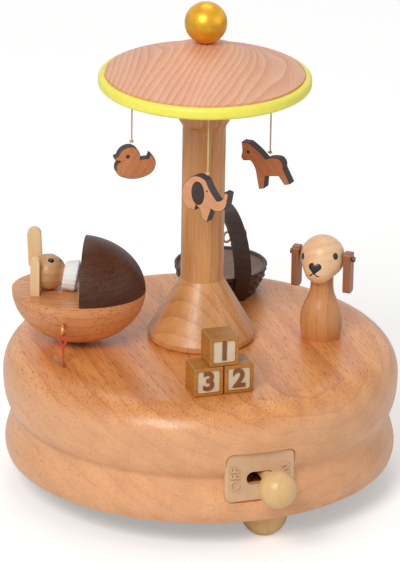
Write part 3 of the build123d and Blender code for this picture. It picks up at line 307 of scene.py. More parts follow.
plainWood = {"ring": 1.8, "rings": 0.3, "power": 3.0, "wobble": 3.0, "fibres": 0.7, "tone": 0.8,
             "flecks": 0.25, "fleckLength": 3.0, "smooth": 0.3, "varnish": 0.2, "gloss": 0.5}
woods = {
    "base": {"light": (246, 172, 102), "dark": (196, 112, 48), "fleck": (140, 70, 28),
             "turn": (0, 0, -90), "centre": (0.02, 0.0, 0.1), "ring": 4.4, "rings": 0.42, "power": 6.0,
             "wobble": 11.0, "fibres": 0.75, "tone": 1.3, "flecks": 0.75, "fleckLength": 4.6,
             "varnish": 0.3},
    "column": {"light": (232, 172, 108), "dark": (172, 106, 52), "fleck": (130, 80, 40),
               "turn": (0, -90, 0), "centre": (0.016, 0.018, 0.0), "ring": 2.4, "rings": 0.35,
               "tone": 0.9, "fleckLength": 6.0},
    "dome": {"light": (250, 200, 166), "dark": (216, 138, 100), "fleck": (190, 122, 88),
             "turn": (0, 0, -112), "centre": (0.026, 0.0065, 0.1), "ring": 1.5, "rings": 0.5,
             "power": 1.3, "wobble": 8.0, "fibres": 0.45, "tone": 0.5, "fleckLength": 1.2,
             "smooth": 0.42, "varnish": 0.06},
    "bowl": {"light": (236, 166, 108), "dark": (186, 112, 60), "fleck": (112, 62, 30),
             "turn": (0, 0, 158), "centre": (-0.0352, 0.0127, 0.01), "ring": 3.2, "wobble": 4.0,
             "flecks": 0.8, "fleckLength": 6.0},
    "hood": {"light": (98, 58, 38), "dark": (42, 23, 15), "fleck": (26, 14, 10), "turn": (0, 0, 158),
             "centre": (-0.0352, 0.0127, -0.02), "ring": 1.6, "rings": 0.25, "fibres": 1.3, "tone": 0.9,
             "flecks": 0.7, "fleckLength": 7.0, "smooth": 0.34, "varnish": 0.04, "gloss": 0.22},
    "dog": {"light": (224, 160, 100), "dark": (174, 108, 56), "fleck": (138, 86, 46),
            "turn": (0, -90, 0), "centre": (0.046, -0.0135, 0.0), "ring": 3.4, "fibres": 0.6,
            "fleckLength": 4.0, "varnish": 0.25},
    "dogHead": {"light": (252, 214, 168), "dark": (220, 164, 112), "fleck": (190, 134, 88),
                "turn": (0, 0, 20), "centre": (0.028, -0.0135, 0.056), "ring": 2.2, "fibres": 0.5,
                "tone": 0.7, "fleckLength": 2.4, "varnish": 0.25},
    "ears": {"light": (186, 120, 78), "dark": (122, 68, 40), "fleck": (74, 38, 24), "turn": (0, -90, 0),
             "centre": (0.02, -0.0235, 0.0), "rings": 0.4, "wobble": 2.0, "fibres": 0.9, "tone": 0.7,
             "flecks": 0.5, "fleckLength": 3.5, "varnish": 0.1},
    "rabbitHead": {"light": (216, 166, 110), "dark": (162, 108, 62), "fleck": (116, 74, 42),
                   "turn": (0, 0, 158), "centre": (-0.04, 0.0065, 0.05), "ring": 2.2, "wobble": 2.0,
                   "fibres": 0.5, "flecks": 0.2, "fleckLength": 2.4},
    "rabbitEars": {"light": (250, 216, 170), "dark": (222, 176, 124), "fleck": (186, 136, 88),
                   "turn": (0, -90, 0), "centre": (-0.04, 0.0265, 0.0), "ring": 2.4, "rings": 0.25,
                   "wobble": 2.0, "fibres": 0.6, "tone": 0.6, "flecks": 0.2, "fleckLength": 4.0,
                   "varnish": 0.1},
    "pale": {"light": (240, 200, 140), "dark": (212, 164, 100), "fleck": (184, 134, 78),
             "turn": (0, 0, 30), "centre": (0.0, 0.0065, 0.012), "ring": 2.6, "rings": 0.18,
             "fibres": 0.35, "tone": 0.5, "flecks": 0.12, "varnish": 0.25},
    "figure": {"light": (230, 156, 108), "dark": (188, 116, 74), "fleck": (120, 66, 40),
               "turn": (0, 0, 60), "centre": (0.0, 0.0065, 0.08), "ring": 2.2, "rings": 0.35,
               "wobble": 2.5, "flecks": 0.4, "smooth": 0.45, "varnish": 0.0, "gloss": 0.25},
    "elephant": {"light": (234, 172, 124), "dark": (200, 132, 88), "fleck": (150, 90, 58),
                 "turn": (0, 0, 60), "centre": (0.0, 0.0065, 0.08), "ring": 2.8, "rings": 0.25,
                 "wobble": 2.5, "fibres": 0.6, "tone": 0.6, "flecks": 0.3, "smooth": 0.45,
                 "varnish": 0.0},
    "basket": {"light": (78, 48, 38), "dark": (34, 20, 16), "fleck": (20, 12, 10), "turn": (0, 0, 40),
               "centre": (0.0166, 0.0397, 0.035), "rings": 0.4, "fibres": 1.0, "flecks": 0.6,
               "smooth": 0.36, "varnish": 0.1, "gloss": 0.3},
    "basketTop": {"light": (154, 122, 102), "dark": (104, 76, 62), "fleck": (66, 48, 42),
                  "turn": (0, 0, 40), "centre": (0.0166, 0.0397, 0.035), "fibres": 0.9, "tone": 0.6,
                  "flecks": 0.5, "fleckLength": 2.5, "smooth": 0.5, "varnish": 0.0},
    "block": {"light": (202, 132, 44), "dark": (134, 80, 20), "fleck": (88, 50, 16), "turn": (0, 0, 15),
              "centre": (-0.007, -0.0335, 0.04), "wobble": 1.5, "tone": 0.9, "flecks": 0.4,
              "fleckLength": 1.6, "smooth": 0.34},
    "cover": {"light": (150, 112, 78), "dark": (116, 82, 54), "fleck": (80, 54, 36), "turn": (0, 0, 10),
              "centre": (0.0, 0.0065, -0.2), "ring": 9.0, "rings": 0.1, "wobble": 2.0, "fibres": 0.8,
              "tone": 0.4, "flecks": 0.6, "fleckLength": 0.7, "smooth": 0.6, "varnish": 0.0},
}


staves = {"count": 7, "start": 0.35, "seam": 0.035, "change": 0.42}


def staveTone(tree, colour):
    # The column is glued from upright strips, each of a slightly different tone
    vector = objectVector(tree, (0, axisBack * mm, 0))
    parts = addNode(tree, "ShaderNodeSeparateXYZ", None, {0: vector}).outputs
    angle = plus(tree, calc(tree, "ARCTAN2", parts[1], parts[0]), staves["start"])
    strips = times(tree, angle, staves["count"] / (2 * math.pi))
    number = calc(tree, "FLOOR", strips)
    shade = addNode(tree, "ShaderNodeTexWhiteNoise", {"noise_dimensions": "1D"}, {"W": number}).outputs[0]
    amount = spread(tree, shade, 0.0, 1.0, 0.0, staves["change"], "LINEAR")
    toned = blendColours(tree, amount, colour, tint(150, 96, 56))
    seam = spread(tree, calc(tree, "FRACT", strips), 0.0, staves["seam"], 0.35, 0.0)
    return blendColours(tree, seam, toned, tint(128, 82, 46))


def paintedSideSheen(tree, colour):
    # Painted sheen: the base's turned sides are blended towards a pale tint as they turn from upright,
    # standing in for the light they catch more than the oiled top
    normal = addNode(tree, "ShaderNodeNewGeometry").outputs["Normal"]
    up = addNode(tree, "ShaderNodeSeparateXYZ", None, {0: normal}).outputs[2]
    return blendColours(tree, spread(tree, up, 0.9, 0.1, 0.0, 0.5), colour, tint(240, 190, 148))


# The column's strips are its real tone; the base's entry paints sheen on its sides
toneAndSheenTrees = {"column": staveTone, "base": paintedSideSheen}
finishes = {name: woodMaterial(name + "Wood", wood, toneAndSheenTrees.get(name)) for name, wood in woods.items()}
finishes.update({
    "yellowPaint": paintMaterial("lemonPaint", tint(253, 246, 96), 0.36, 0.015),
    "goldPaint": paintMaterial("goldLacquer", tint(236, 174, 52), 0.30, 0.05, 0.85, 1.2, 0.00004),
    "brass": metalMaterial("brassMetal", tint(214, 176, 102), 0.24),
    "zinc": metalMaterial("castZinc", tint(168, 170, 172), 0.46, (1, 1, 1), 0.00005),
    "steel": metalMaterial("brightSteel", tint(186, 188, 192), 0.28, (1.0, 6.0, 6.0)),
    "agedBrass": metalMaterial("agedBrass", tint(128, 88, 54), 0.4),
    "springSteel": metalMaterial("bluedSteel", tint(84, 92, 112), 0.32, (1.0, 1.0, 8.0)),
    "plastic": paintMaterial("beigePlastic", tint(226, 186, 146), 0.42, 0.02, 0.0, 3.0),
    "blackPaint": paintMaterial("blackPaint", tint(26, 24, 26), 0.2, 0.03),
    "rimPaint": paintMaterial("paleRimPaint", tint(214, 190, 160), 0.35, 0.02),
    "whitePaint": paintMaterial("offWhitePaint", tint(226, 206, 174), 0.5, 0.03),
    "numberPaint": paintMaterial("brownPaint", tint(140, 82, 34), 0.45, 0.05),
})
wearers = {
    "base": "base_body",
    "column": "column",
    "dome": "canopy_dome",
    "yellowPaint": "canopy_ring",
    "goldPaint": "finial_ball",
    "pale": "ball_foot_1 ball_foot_2 ball_foot_3 switch_knob",
    "bowl": "cradle_bowl",
    "hood": "cradle_hood",
    "dog": "dog_body",
    "dogHead": "dog_head",
    "ears": "dog_ear_left dog_ear_right",
    "rabbitHead": "rabbit_head",
    "rabbitEars": "rabbit_ears",
    "basket": "basket_bowl basket_handle",
    "block": "toy_block_1 toy_block_2 toy_block_3",
    "cover": "bottom_cover",
    "plastic": "switch_plate",
    "brass": "column_bushes screw_eye spring_barrel cylinder_arbor pin_cylinder governor_wheel fly_worm "
             "rocker_cam",
    "zinc": "movement_bedplate governor_frame",
    "steel": "cover_screws foot_screws movement_screws comb comb_screws spindle cradle_pin cradle_post "
             "lever_bracket pull_lever stop_slider winding_arbor winding_key",
    "agedBrass": "dog_ear_nails",
    "springSteel": "mainspring",
}
for finish, names in wearers.items():
    dress(finishes[finish], names.split())
print("materials made")


# Pieces of the scene's own

def newPiece(name, mesh, material, body, replaced=()):
    piece = link(name, mesh)
    if material:
        mesh.materials.clear()
        mesh.materials.append(material)
    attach(piece, body)
    if replaced:
        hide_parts(*replaced)
    return piece


def meshFrom(name, build, smooth=True):
    work = bmesh.new()
    build(work)
    bmesh.ops.recalc_face_normals(work, faces=work.faces)
    mesh = bpy.data.meshes.new(name)
    work.to_mesh(mesh)
    work.free()
    for polygon in mesh.polygons:
        polygon.use_smooth = smooth
    return mesh


def placed(spot, x, y, z):
    # A point of a piece's own frame, in metres from the origin
    turn = math.radians(spot["turn"])
    return Vector((spot["x"] + x * math.cos(turn) - y * math.sin(turn),
                   spot["y"] + x * math.sin(turn) + y * math.cos(turn), spot["z"] + z)) * mm


def around(count):
    return [2 * math.pi * i / count for i in range(count)]


def joinRings(work, rings):
    count = len(rings[0])
    for first, second in zip(rings, rings[1:]):
        for i in range(count):
            j = (i + 1) % count
            work.faces.new((first[i], first[j], second[j], second[i]))


def closeFan(work, ring, top):
    for i in range(len(ring)):
        work.faces.new((ring[i], ring[(i + 1) % len(ring)], top))


def makeTwistTree():
    # Strands laid round a smooth path, closed tubes at the end
    tree, given, out = newGroup("twistedThread", "GeometryNodeTree", [
        ("Path", "NodeSocketGeometry", None),
        ("Strands", "NodeSocketInt", 2),
        ("Strand Radius", "NodeSocketFloat", 0.0002),
        ("Offset", "NodeSocketFloat", 0.0001),
        ("Pitch", "NodeSocketFloat", 0.001),
        ("Step", "NodeSocketFloat", 0.0001),
        ("Material", "NodeSocketMaterial", None),
    ], [("Mesh", "NodeSocketGeometry")])
    g = given.outputs
    path = addNode(tree, "GeometryNodeMeshToCurve", None, {0: g["Path"]}).outputs[0]
    path = addNode(tree, "GeometryNodeCurveSplineType", {"spline_type": "BEZIER"}, {0: path}).outputs[0]
    path = addNode(tree, "GeometryNodeCurveSetHandles", {"handle_type": "AUTO"}, {0: path}).outputs[0]
    sampled = addNode(tree, "GeometryNodeResampleCurve", {"mode": "LENGTH"}, {0: path, "Length": g["Step"]})
    copies = addNode(tree, "GeometryNodeDuplicateElements", {"domain": "SPLINE"},
                     {0: sampled.outputs[0], "Amount": g["Strands"]})
    run = addNode(tree, "GeometryNodeSplineParameter").outputs["Length"]
    turns = calc(tree, "DIVIDE", run, g["Pitch"])
    share = calc(tree, "DIVIDE", copies.outputs["Duplicate Index"], g["Strands"])
    angle = times(tree, plus(tree, turns, share), 2 * math.pi)
    side = addNode(tree, "GeometryNodeInputNormal").outputs[0]
    tangent = addNode(tree, "GeometryNodeInputTangent").outputs[0]
    turned = addNode(tree, "ShaderNodeVectorRotate", {"rotation_type": "AXIS_ANGLE"},
                     {"Vector": side, "Axis": tangent, "Angle": angle}).outputs[0]
    away = addNode(tree, "ShaderNodeVectorMath", {"operation": "SCALE"},
                   {0: turned, "Scale": g["Offset"]}).outputs[0]
    moved = addNode(tree, "GeometryNodeSetPosition", None,
                    {0: copies.outputs[0], "Offset": away}).outputs[0]
    ring = addNode(tree, "GeometryNodeCurvePrimitiveCircle", {"mode": "RADIUS"},
                   {"Resolution": 7, "Radius": g["Strand Radius"]}).outputs[0]
    tube = addNode(tree, "GeometryNodeCurveToMesh", None,
                   {0: moved, 1: ring, "Fill Caps": True}).outputs[0]
    tube = addNode(tree, "GeometryNodeSetShadeSmooth", None, {0: tube}).outputs[0]
    whole = addNode(tree, "GeometryNodeRealizeInstances", None, {0: tube}).outputs[0]
    painted = addNode(tree, "GeometryNodeSetMaterial", None, {0: whole, "Material": g["Material"]}).outputs[0]
    tree.links.new(painted, out.inputs[0])
    return tree


twistTree = makeTwistTree()


def runNodes(name, mesh, tree, values):
    # Runs a Geometry Nodes tree on a mesh and returns the plain mesh it makes
    host = link(name, mesh)
    modifier = host.modifiers.new("make", "NODES")
    modifier.node_group = tree
    for item in tree.interface.items_tree:
        if item.item_type == "SOCKET" and item.in_out == "INPUT" and item.name in values:
            modifier[item.identifier] = values[item.name]
    host.update_tag()
    depsgraph = bpy.context.evaluated_depsgraph_get()
    made = bpy.data.meshes.new_from_object(host.evaluated_get(depsgraph), depsgraph=depsgraph)
    bpy.data.objects.remove(host)
    return made


def pathMesh(name, runs):
    points = []
    edges = []
    for run in runs:
        first = len(points)
        points += [Vector(p) for p in run]
        edges += [(first + i, first + i + 1) for i in range(len(run) - 1)]
    mesh = bpy.data.meshes.new(name)
    mesh.from_pydata(points, edges, [])
    return mesh


def threadMesh(name, runs, thread, material):
    values = {"Strands": thread["strands"], "Strand Radius": thread["strand"] * mm,
              "Offset": thread["offset"] * mm, "Pitch": thread["pitch"] * mm,
              "Step": thread["step"] * mm, "Material": material}
    return runNodes(name, pathMesh(name + "Path", runs), twistTree, values)


def fabricMaterial(name, colour, rough, threads, depth, sheen=0.3, shade=0.72):
    # A plain weave: two crossing sets of fine threads on object coordinates
    material, tree, shader = newMaterial(name)
    vector = objectVector(tree)
    parts = addNode(tree, "ShaderNodeSeparateXYZ", None, {0: vector}).outputs
    flat = plus(tree, parts[0], times(tree, parts[1], 0.7))
    warp = calc(tree, "SINE", times(tree, flat, threads))
    weft = calc(tree, "SINE", times(tree, parts[2], threads))
    weave = times(tree, warp, weft)
    fuzz = noise(tree, vector, 5.0, 3.0, 0.7)
    height = plus(tree, times(tree, weave, 0.5), fuzz)
    # Painted shade: the colour darkens by the shade factor where the weave and fuzz are low, in the hollows
    # between threads
    dark = tuple(c * shade for c in colour[:3]) + (1.0,)
    tree.links.new(blendColours(tree, spread(tree, height, 1.0, -0.2, 0.0, 0.8), colour, dark),
                   shader.inputs["Base Color"])
    shader.inputs["Roughness"].default_value = rough
    shader.inputs["Sheen Weight"].default_value = sheen
    bump(tree, shader, height, depth, 0.8)
    return material


goldThread = fabricMaterial("goldThread", tint(226, 206, 146), 0.5, 12.0, 0.00002, 0.2)
redThread = fabricMaterial("redThread", tint(224, 72, 34), 0.6, 12.0, 0.00002, 0.2)
whiteCotton = fabricMaterial("whiteCotton", tint(254, 253, 252), 0.85, 14.0, 0.00003, 0.3, 0.90)
greyFelt = fabricMaterial("greyFelt", tint(150, 144, 142), 0.95, 7.0, 0.00010)


# Hanging figures cut from sheet, with charred edges

def arcPoints(first, middle, last, count=9):
    (ax, ay), (bx, by), (cx, cy) = first, middle, last
    a, b, c = ax * ax + ay * ay, bx * bx + by * by, cx * cx + cy * cy
    double = 2 * (ax * (by - cy) + bx * (cy - ay) + cx * (ay - by))
    ux = (a * (by - cy) + b * (cy - ay) + c * (ay - by)) / double
    uy = (a * (cx - bx) + b * (ax - cx) + c * (bx - ax)) / double
    radius = math.hypot(ax - ux, ay - uy)
    start = math.atan2(ay - uy, ax - ux)
    mid = (math.atan2(by - uy, bx - ux) - start) % (2 * math.pi)
    end = (math.atan2(cy - uy, cx - ux) - start) % (2 * math.pi)
    sweep = end if mid < end else end - 2 * math.pi
    return [(ux + radius * math.cos(start + sweep * i / count),
             uy + radius * math.sin(start + sweep * i / count)) for i in range(count)]


def outline(steps):
    # Steps are end points, or (middle, end) pairs for arcs, from the last end point on
    points = []
    here = steps[-1][1] if isinstance(steps[-1][0], tuple) else steps[-1]
    for step in steps:
        if isinstance(step[0], tuple):
            points += arcPoints(here, step[0], step[1])
            here = step[1]
        else:
            points.append(here)
            here = step
    return points


# Outlines and burnt marks are millimetres across and up from where the thread meets the figure
figures = {
    "duck": {"turn": 138.0, "face": 15.0, "knot": 55.3, "wood": "figure",
             "marks": [(-1.4, -3.2, 0.6, 0.6)],
             "outline": [(-5.1, -4.1), (-3.6, -4.5), ((-4.9, -6.9), (-3.6, -9.1)),
                         ((0.9, -10.2), (5.1, -9.1)), ((6.9, -6.2), (5.2, -2.8)), (4.8, -4.2),
                         (2.2, -4.3), ((1.9, -1.9), (-0.2, -0.3)), ((-3.0, -1.0), (-4.3, -3.0)),
                         (-5.2, -3.3)]},
    "elephant": {"turn": -105.0, "face": -35.0, "knot": 57.6, "wood": "elephant",
                 "marks": [(0.8, -3.8, 0.32, 0.32), (-2.3, -5.1, 2.25, 3.55)],
                 "outline": [((-2.8, 0.0), (-6.0, -1.9)), ((-7.8, -5.4), (-7.5, -8.6)), (-5.9, -10.5),
                             (-3.2, -10.4), (-3.0, -8.8), (-1.8, -9.4), (-0.5, -12.5), (0.9, -13.1),
                             (2.3, -8.8), ((5.9, -8.6), (7.6, -5.9)), (8.1, -3.1), (6.6, -2.8),
                             ((5.9, -5.2), (4.1, -5.9)), ((1.9, -3.4), (0.4, -0.8))]},
    "horse": {"turn": 15.0, "face": -27.0, "knot": 51.5, "wood": "figure",
              "marks": [(-6.4, 0.3, 0.5, 0.5)],
              "outline": [(-6.3, 3.1), ((-3.5, 1.4), (-0.8, -0.9)), ((1.4, -0.1), (3.4, 0.0)),
                          ((4.6, -1.0), (4.9, -2.8)), (7.3, -7.2), (5.5, -7.8), (3.5, -5.4),
                          (-0.7, -6.2), (-1.0, -10.0), (-2.7, -10.5), (-3.7, -5.6),
                          ((-4.4, -3.7), (-5.6, -2.2)), (-8.0, -2.6), (-8.6, -1.7), (-8.3, 0.4),
                          (-8.6, 3.0)]},
}
plate = {"thick": 2.9, "burn": 0.35, "round": 0.12, "hang": 22.8, "viewTurn": -18.0}


def charredMaterial(name, wood):
    # Wood that darkens to charcoal towards the cut edge
    material = woodMaterial(name, wood)
    tree = material.node_tree
    shader = next(n for n in tree.nodes if n.type == "BSDF_PRINCIPLED")
    plain = shader.inputs["Base Color"].links[0].from_socket
    burn = addNode(tree, "ShaderNodeAttribute", {"attribute_name": "burn"}).outputs["Fac"]
    ragged = noise(tree, objectVector(tree), 1.6, 2.0)
    amount = plus(tree, burn, times(tree, minus(tree, ragged, 0.5), 0.7))
    charcoal = blendColours(tree, ragged, tint(38, 32, 32), tint(86, 78, 78))
    black = spread(tree, amount, 0.35, 0.75)
    tree.links.new(blendColours(tree, black, plain, charcoal), shader.inputs["Base Color"])
    return material


def plateMesh(name, points, place):
    half = plate["thick"] / 2

    def build(work):
        work.verts.layers.float.new("burn")
        front = [work.verts.new((x, -half, z)) for x, z in points]
        back = [work.verts.new((x, half, z)) for x, z in points]
        count = len(points)
        faces = [work.faces.new(front), work.faces.new(list(reversed(back)))]
        for i in range(count):
            j = (i + 1) % count
            work.faces.new((front[i], back[i], back[j], front[j]))
        bmesh.ops.recalc_face_normals(work, faces=work.faces)
        bmesh.ops.inset_region(work, faces=faces, thickness=plate["burn"], use_even_offset=True)
        layer = work.verts.layers.float["burn"]
        rim = {(round(x, 4), round(z, 4)) for x, z in points}
        for vertex in work.verts:
            vertex[layer] = 1.0 if (round(vertex.co.x, 4), round(vertex.co.z, 4)) in rim else 0.0
        bmesh.ops.triangulate(work, faces=[f for f in work.faces if len(f.verts) > 4])
        for vertex in work.verts:
            vertex.co = place @ (vertex.co * mm)
    return meshFrom(name, build, False)


def hangSpot(figure, up=0.0):
    turn = math.radians(figure["turn"])
    return Vector((plate["hang"] * math.cos(turn), plate["hang"] * math.sin(turn) + axisBack,
                   baseTop + figure["knot"] + up)) * mm


def makeFigure(name, figure):
    yaw = math.radians(plate["viewTurn"] + figure["face"])
    place = Matrix.Translation(hangSpot(figure)) @ Matrix.Rotation(yaw, 4, "Z")
    material = charredMaterial(name + "Wood", woods[figure["wood"]])
    points = outline(figure["outline"])
    piece = newPiece(name + "Figure", plateMesh(name + "Figure", points, place), material,
                     name, (name + "_plate",))
    bevel = piece.modifiers.new("edge", "BEVEL")
    bevel.width = plate["round"] * mm
    bevel.segments = 2
    bevel.limit_method = "ANGLE"
    for side, label in ((-1, "Front"), (1, "Back")):
        for number, mark in enumerate(figure["marks"]):
            newPiece(f"{name}Mark{number}{label}", discMesh(f"{name}Mark", mark, side, place),
                     finishes["charcoal"], name)


def discMesh(name, mark, side, place, proud=0.03):
    # A thin burnt oval, slightly domed, on a figure's face
    u, w, a, b = mark
    depth = plate["thick"] / 2

    def build(work):
        rings = []
        for share, lift in ((1.0, -0.05), (0.93, 0.6), (0.5, 1.0)):
            rings.append([work.verts.new(place @ (Vector((
                u + a * share * math.cos(t), side * (depth + proud * lift),
                w + b * share * math.sin(t))) * mm)) for t in around(28)])
        top = work.verts.new(place @ (Vector((u, side * (depth + proud), w)) * mm))
        joinRings(work, rings)
        closeFan(work, rings[-1], top)
        work.faces.new(list(reversed(rings[0])))
    return meshFrom(name, build)


finishes["charcoal"] = paintMaterial("charcoal", tint(66, 52, 50), 0.7, 0.1, 0.0, 2.5, 0.00006)
pendantThread = {"strands": 2, "strand": 0.14, "offset": 0.12, "pitch": 1.1, "step": 0.12,
                 "knot": 0.55, "knotUp": 0.9, "start": 0.7, "top": 120.5}


def knotRun(centre, size, count=24):
    # A small overhand knot as a closed three-lobed run
    return [centre + Vector((math.sin(t) + 1.6 * math.sin(2 * t),
                             math.cos(t) - 1.6 * math.cos(2 * t),
                             -1.1 * math.sin(3 * t))) * size * mm * 0.36
            for t in (2 * math.pi * i / count for i in range(count + 1))]


def makePendants():
    for name, figure in figures.items():
        makeFigure(name, figure)
        foot = hangSpot(figure, pendantThread["start"])
        top = Vector((foot.x, foot.y, pendantThread["top"] * mm))
        runs = [[foot, (hangSpot(figure) + top) / 2, top],
                knotRun(hangSpot(figure, pendantThread["knotUp"]), pendantThread["knot"])]
        mesh = threadMesh(name + "Thread", runs, pendantThread, goldThread)
        newPiece(name + "Thread", mesh, None, name, (name + "_thread",))


makePendants()
print("hanging figures made")


# Cradle's own frame: u outwards along it, v to its near side, w up from the rim's middle

cradle = {"x": -35.2, "y": 6.2 + axisBack, "z": 59.1, "turn": 158.0}


collar = {"start": -0.15, "end": 4.5, "radius": 4.35, "v": 1.0, "folds": 15, "depth": 0.10, "flare": 0.5,
          "lean": 0.16, "rows": 18, "columns": 170}
blanket = {"start": -11.0, "end": -0.3, "radius": 4.1, "v": 0.5, "folds": 9, "depth": 0.16, "flare": 0.0,
           "lean": 0.0, "rows": 26, "columns": 120}


def gatheredTube(name, settings):
    # Cloth gathered round the doll: folds run along it and fade towards the middle
    length = settings["end"] - settings["start"]

    def build(work):
        rings = []
        for i in range(settings["rows"] + 1):
            share = i / settings["rows"]
            ends = abs(2 * share - 1)
            ring = []
            for t in around(settings["columns"]):
                fold = math.sin(settings["folds"] * t + 1.3 * math.sin(3 * t)) * settings["depth"]
                radius = settings["radius"] + fold * (0.35 + 0.65 * ends ** 2)
                radius *= 1.0 - 5.4 * max(0.0, ends - 0.72) ** 2
                radius *= 1.0 + settings["flare"] * (0.12 - 0.3 * share)
                flat = max(-settings["radius"] + 0.25, radius * math.sin(t))
                ring.append(work.verts.new(placed(
                    cradle, settings["start"] + length * share - settings["lean"] * flat,
                    settings["v"] + radius * math.cos(t), settings["radius"] + flat)))
            rings.append(ring)
        joinRings(work, rings)
        work.faces.new(rings[0])
        work.faces.new(list(reversed(rings[-1])))
    return meshFrom(name, build)


def makeDollCloth():
    newPiece("rabbitCollar", gatheredTube("rabbitCollar", collar), whiteCotton,
             "cradle", ("rabbit_collar",))
    piece = newPiece("rabbitBlanket", gatheredTube("rabbitBlanket", blanket), greyFelt,
                     "cradle", ("rabbit_blanket",))


makeDollCloth()
print("doll's cloth made")


# Pull string: a loop through the screw eye and one strand to the lever

pull = {"strands": 3, "strand": 0.17, "offset": 0.16, "pitch": 1.2, "step": 0.12,
        "eye": (2.6, 18.6, -5.6), "foot": (-44.1, -11.3 + axisBack, 28.95),
        "loop": [(0.0, -5.2), (0.5, -4.3), (0.95, -2.6), (0.75, -1.4), (0.0, -0.9)]}


def makePullString():
    turn = math.radians(cradle["turn"])
    across = Vector((math.cos(turn), math.sin(turn), 0.0))
    half = pull["loop"]
    eye = placed(cradle, *pull["eye"])
    loop = [eye + (across * x + Vector((0, 0, z))) * mm
            for x, z in half + [(-x, z) for x, z in reversed(half[:-1])]]
    low = loop[0]
    foot = Vector(pull["foot"]) * mm
    strand = [low + Vector((0, 0, 0.2 * mm)), (low + foot) / 2, foot]
    runs = [loop, strand, knotRun(low + Vector((0, 0, 0.1 * mm)), 0.62), knotRun(foot, 1.5)]
    mesh = threadMesh("pullString", runs, pull, redThread)
    newPiece("pullString", mesh, None, "string", ("pull_string",))


makePullString()


# Bow of gold cord on the basket's handle

basket = {"x": 16.6, "y": 33.2 + axisBack, "z": baseTop, "turn": -80.0, "rim": 13.8, "height": 8.5,
          "top": 27.5, "strap": 1.7}
bow = {"up": 20.5, "size": 1.9, "strands": 2, "strand": 0.22, "offset": 0.19, "pitch": 1.0, "step": 0.14,
       "loop": [(0.1, 0.0), (0.7, 0.35), (1.5, 0.45), (1.95, -0.3), (1.6, -1.1), (0.8, -0.9), (0.1, 0.0)],
       "tail": [(0.1, 0.0), (0.3, -0.9), (0.5, -1.9)]}


def makeBow():
    inner = basket["rim"] - basket["strap"] * 0.45
    rise = basket["top"] - basket["height"] - basket["strap"]
    reach = inner * math.sqrt(1 - ((bow["up"] - basket["height"]) / rise) ** 2) - 1.1
    size = bow["size"]
    runs = [[placed(basket, reach, side * a * size, bow["up"] + b * size) for a, b in bow[part]]
            for side in (-1, 1) for part in ("loop", "tail")]
    runs.append(knotRun(placed(basket, reach, 0.0, bow["up"]), 0.75))
    mesh = threadMesh("basketBow", runs, bow, goldThread)
    newPiece("basketBow", mesh, None, "base", ("basket_bow",))


makeBow()
print("strings and bow made")


# Paint marks laid on a curved surface, such as eyes and noses

def surfaceTree(name):
    source = nodes[name]
    return BVHTree.FromPolygons([v.co.copy() for v in source.data.vertices],
                                [tuple(p.vertices) for p in source.data.polygons])


def markMesh(name, tree, centre, normal, points, lift, rings=4):
    # Points are millimetres across and up from the centre, seen from outside
    normal = normal.normalized()
    across = Vector((0, 0, 1)).cross(normal).normalized()
    upward = normal.cross(across)
    middle = (sum(p[0] for p in points) / len(points), sum(p[1] for p in points) / len(points))

    def drop(x, y, proud):
        over = centre + (across * x + upward * y) * mm
        ground = tree.ray_cast(over + normal * 6 * mm, -normal)[0] or over
        return ground + normal * proud * mm

    def build(work):
        loops = []
        for i in range(rings):
            share = 1.0 - i / rings
            proud = -0.03 if i == 0 else lift * (1 - share ** 4)
            loops.append([work.verts.new(drop(middle[0] + (x - middle[0]) * share,
                                              middle[1] + (y - middle[1]) * share, proud))
                          for x, y in points])
        top = work.verts.new(drop(*middle, lift))
        joinRings(work, loops)
        closeFan(work, loops[-1], top)
        under = [work.verts.new(v.co - normal * 0.08 * mm) for v in loops[0]]
        joinRings(work, [under, loops[0]])
        work.faces.new(list(reversed(under)))
    return meshFrom(name, build)


def oval(a, b, count=24):
    return [(a * math.cos(t), b * math.sin(t)) for t in around(count)]


def heart(size, count=30):
    return [(size * math.sin(t) ** 3,
             size / 16 * (13 * math.cos(t) - 5 * math.cos(2 * t) - 2 * math.cos(3 * t) - math.cos(4 * t)))
            for t in around(count)]


def stroke(points, width):
    # A painted line of even width with tapering ends
    path = [Vector(p) for p in points]
    left, right = [], []
    for i, p in enumerate(path):
        run = (path[min(i + 1, len(path) - 1)] - path[max(i - 1, 0)]).normalized()
        side = Vector((-run.y, run.x)) * width / 2 * (0.4 if i in (0, len(path) - 1) else 1.0)
        left.append(p + side)
        right.append(p - side)
    return [tuple(p) for p in left + list(reversed(right))]


def pixelHit(tree, px, py):
    # Where the photograph's pixel meets a surface, from the camera
    wide, high = cameraView["photo"]
    focal = cameraView["lens"] / cameraView["sensor"] * high
    ray = camera.matrix_world.to_3x3() @ Vector(((px - wide / 2) / focal, (high / 2 - py) / focal, -1.0))
    return tree.ray_cast(camera.matrix_world.translation, ray.normalized())[:2]


def makeMark(name, tree, hit, points, body, lift, paint="blackPaint"):
    newPiece(name, markMesh(name, tree, *hit, points, lift), finishes[paint], body)


def makeEye(rimName, name, tree, hit, eye, body):
    makeMark(rimName, tree, hit, oval(*eye["rim"]), body, 0.03, "rimPaint")
    makeMark(name, tree, hit, oval(*eye["ball"]), body, 0.09)


# The faces' marks are placed by the photograph's pixels
dogFace = {"eyes": ((302.7, 256.1), (335.6, 256.3)), "nose": (314.4, 268.4), "mouth": (313.6, 276.5),
           "rim": (1.18, 1.32), "ball": (1.02, 1.16), "noseSize": 2.1, "line": 0.38,
           "lips": ((0.0, 1.6), (0.3, 0.7), (1.0, -0.1), (1.9, -0.2))}


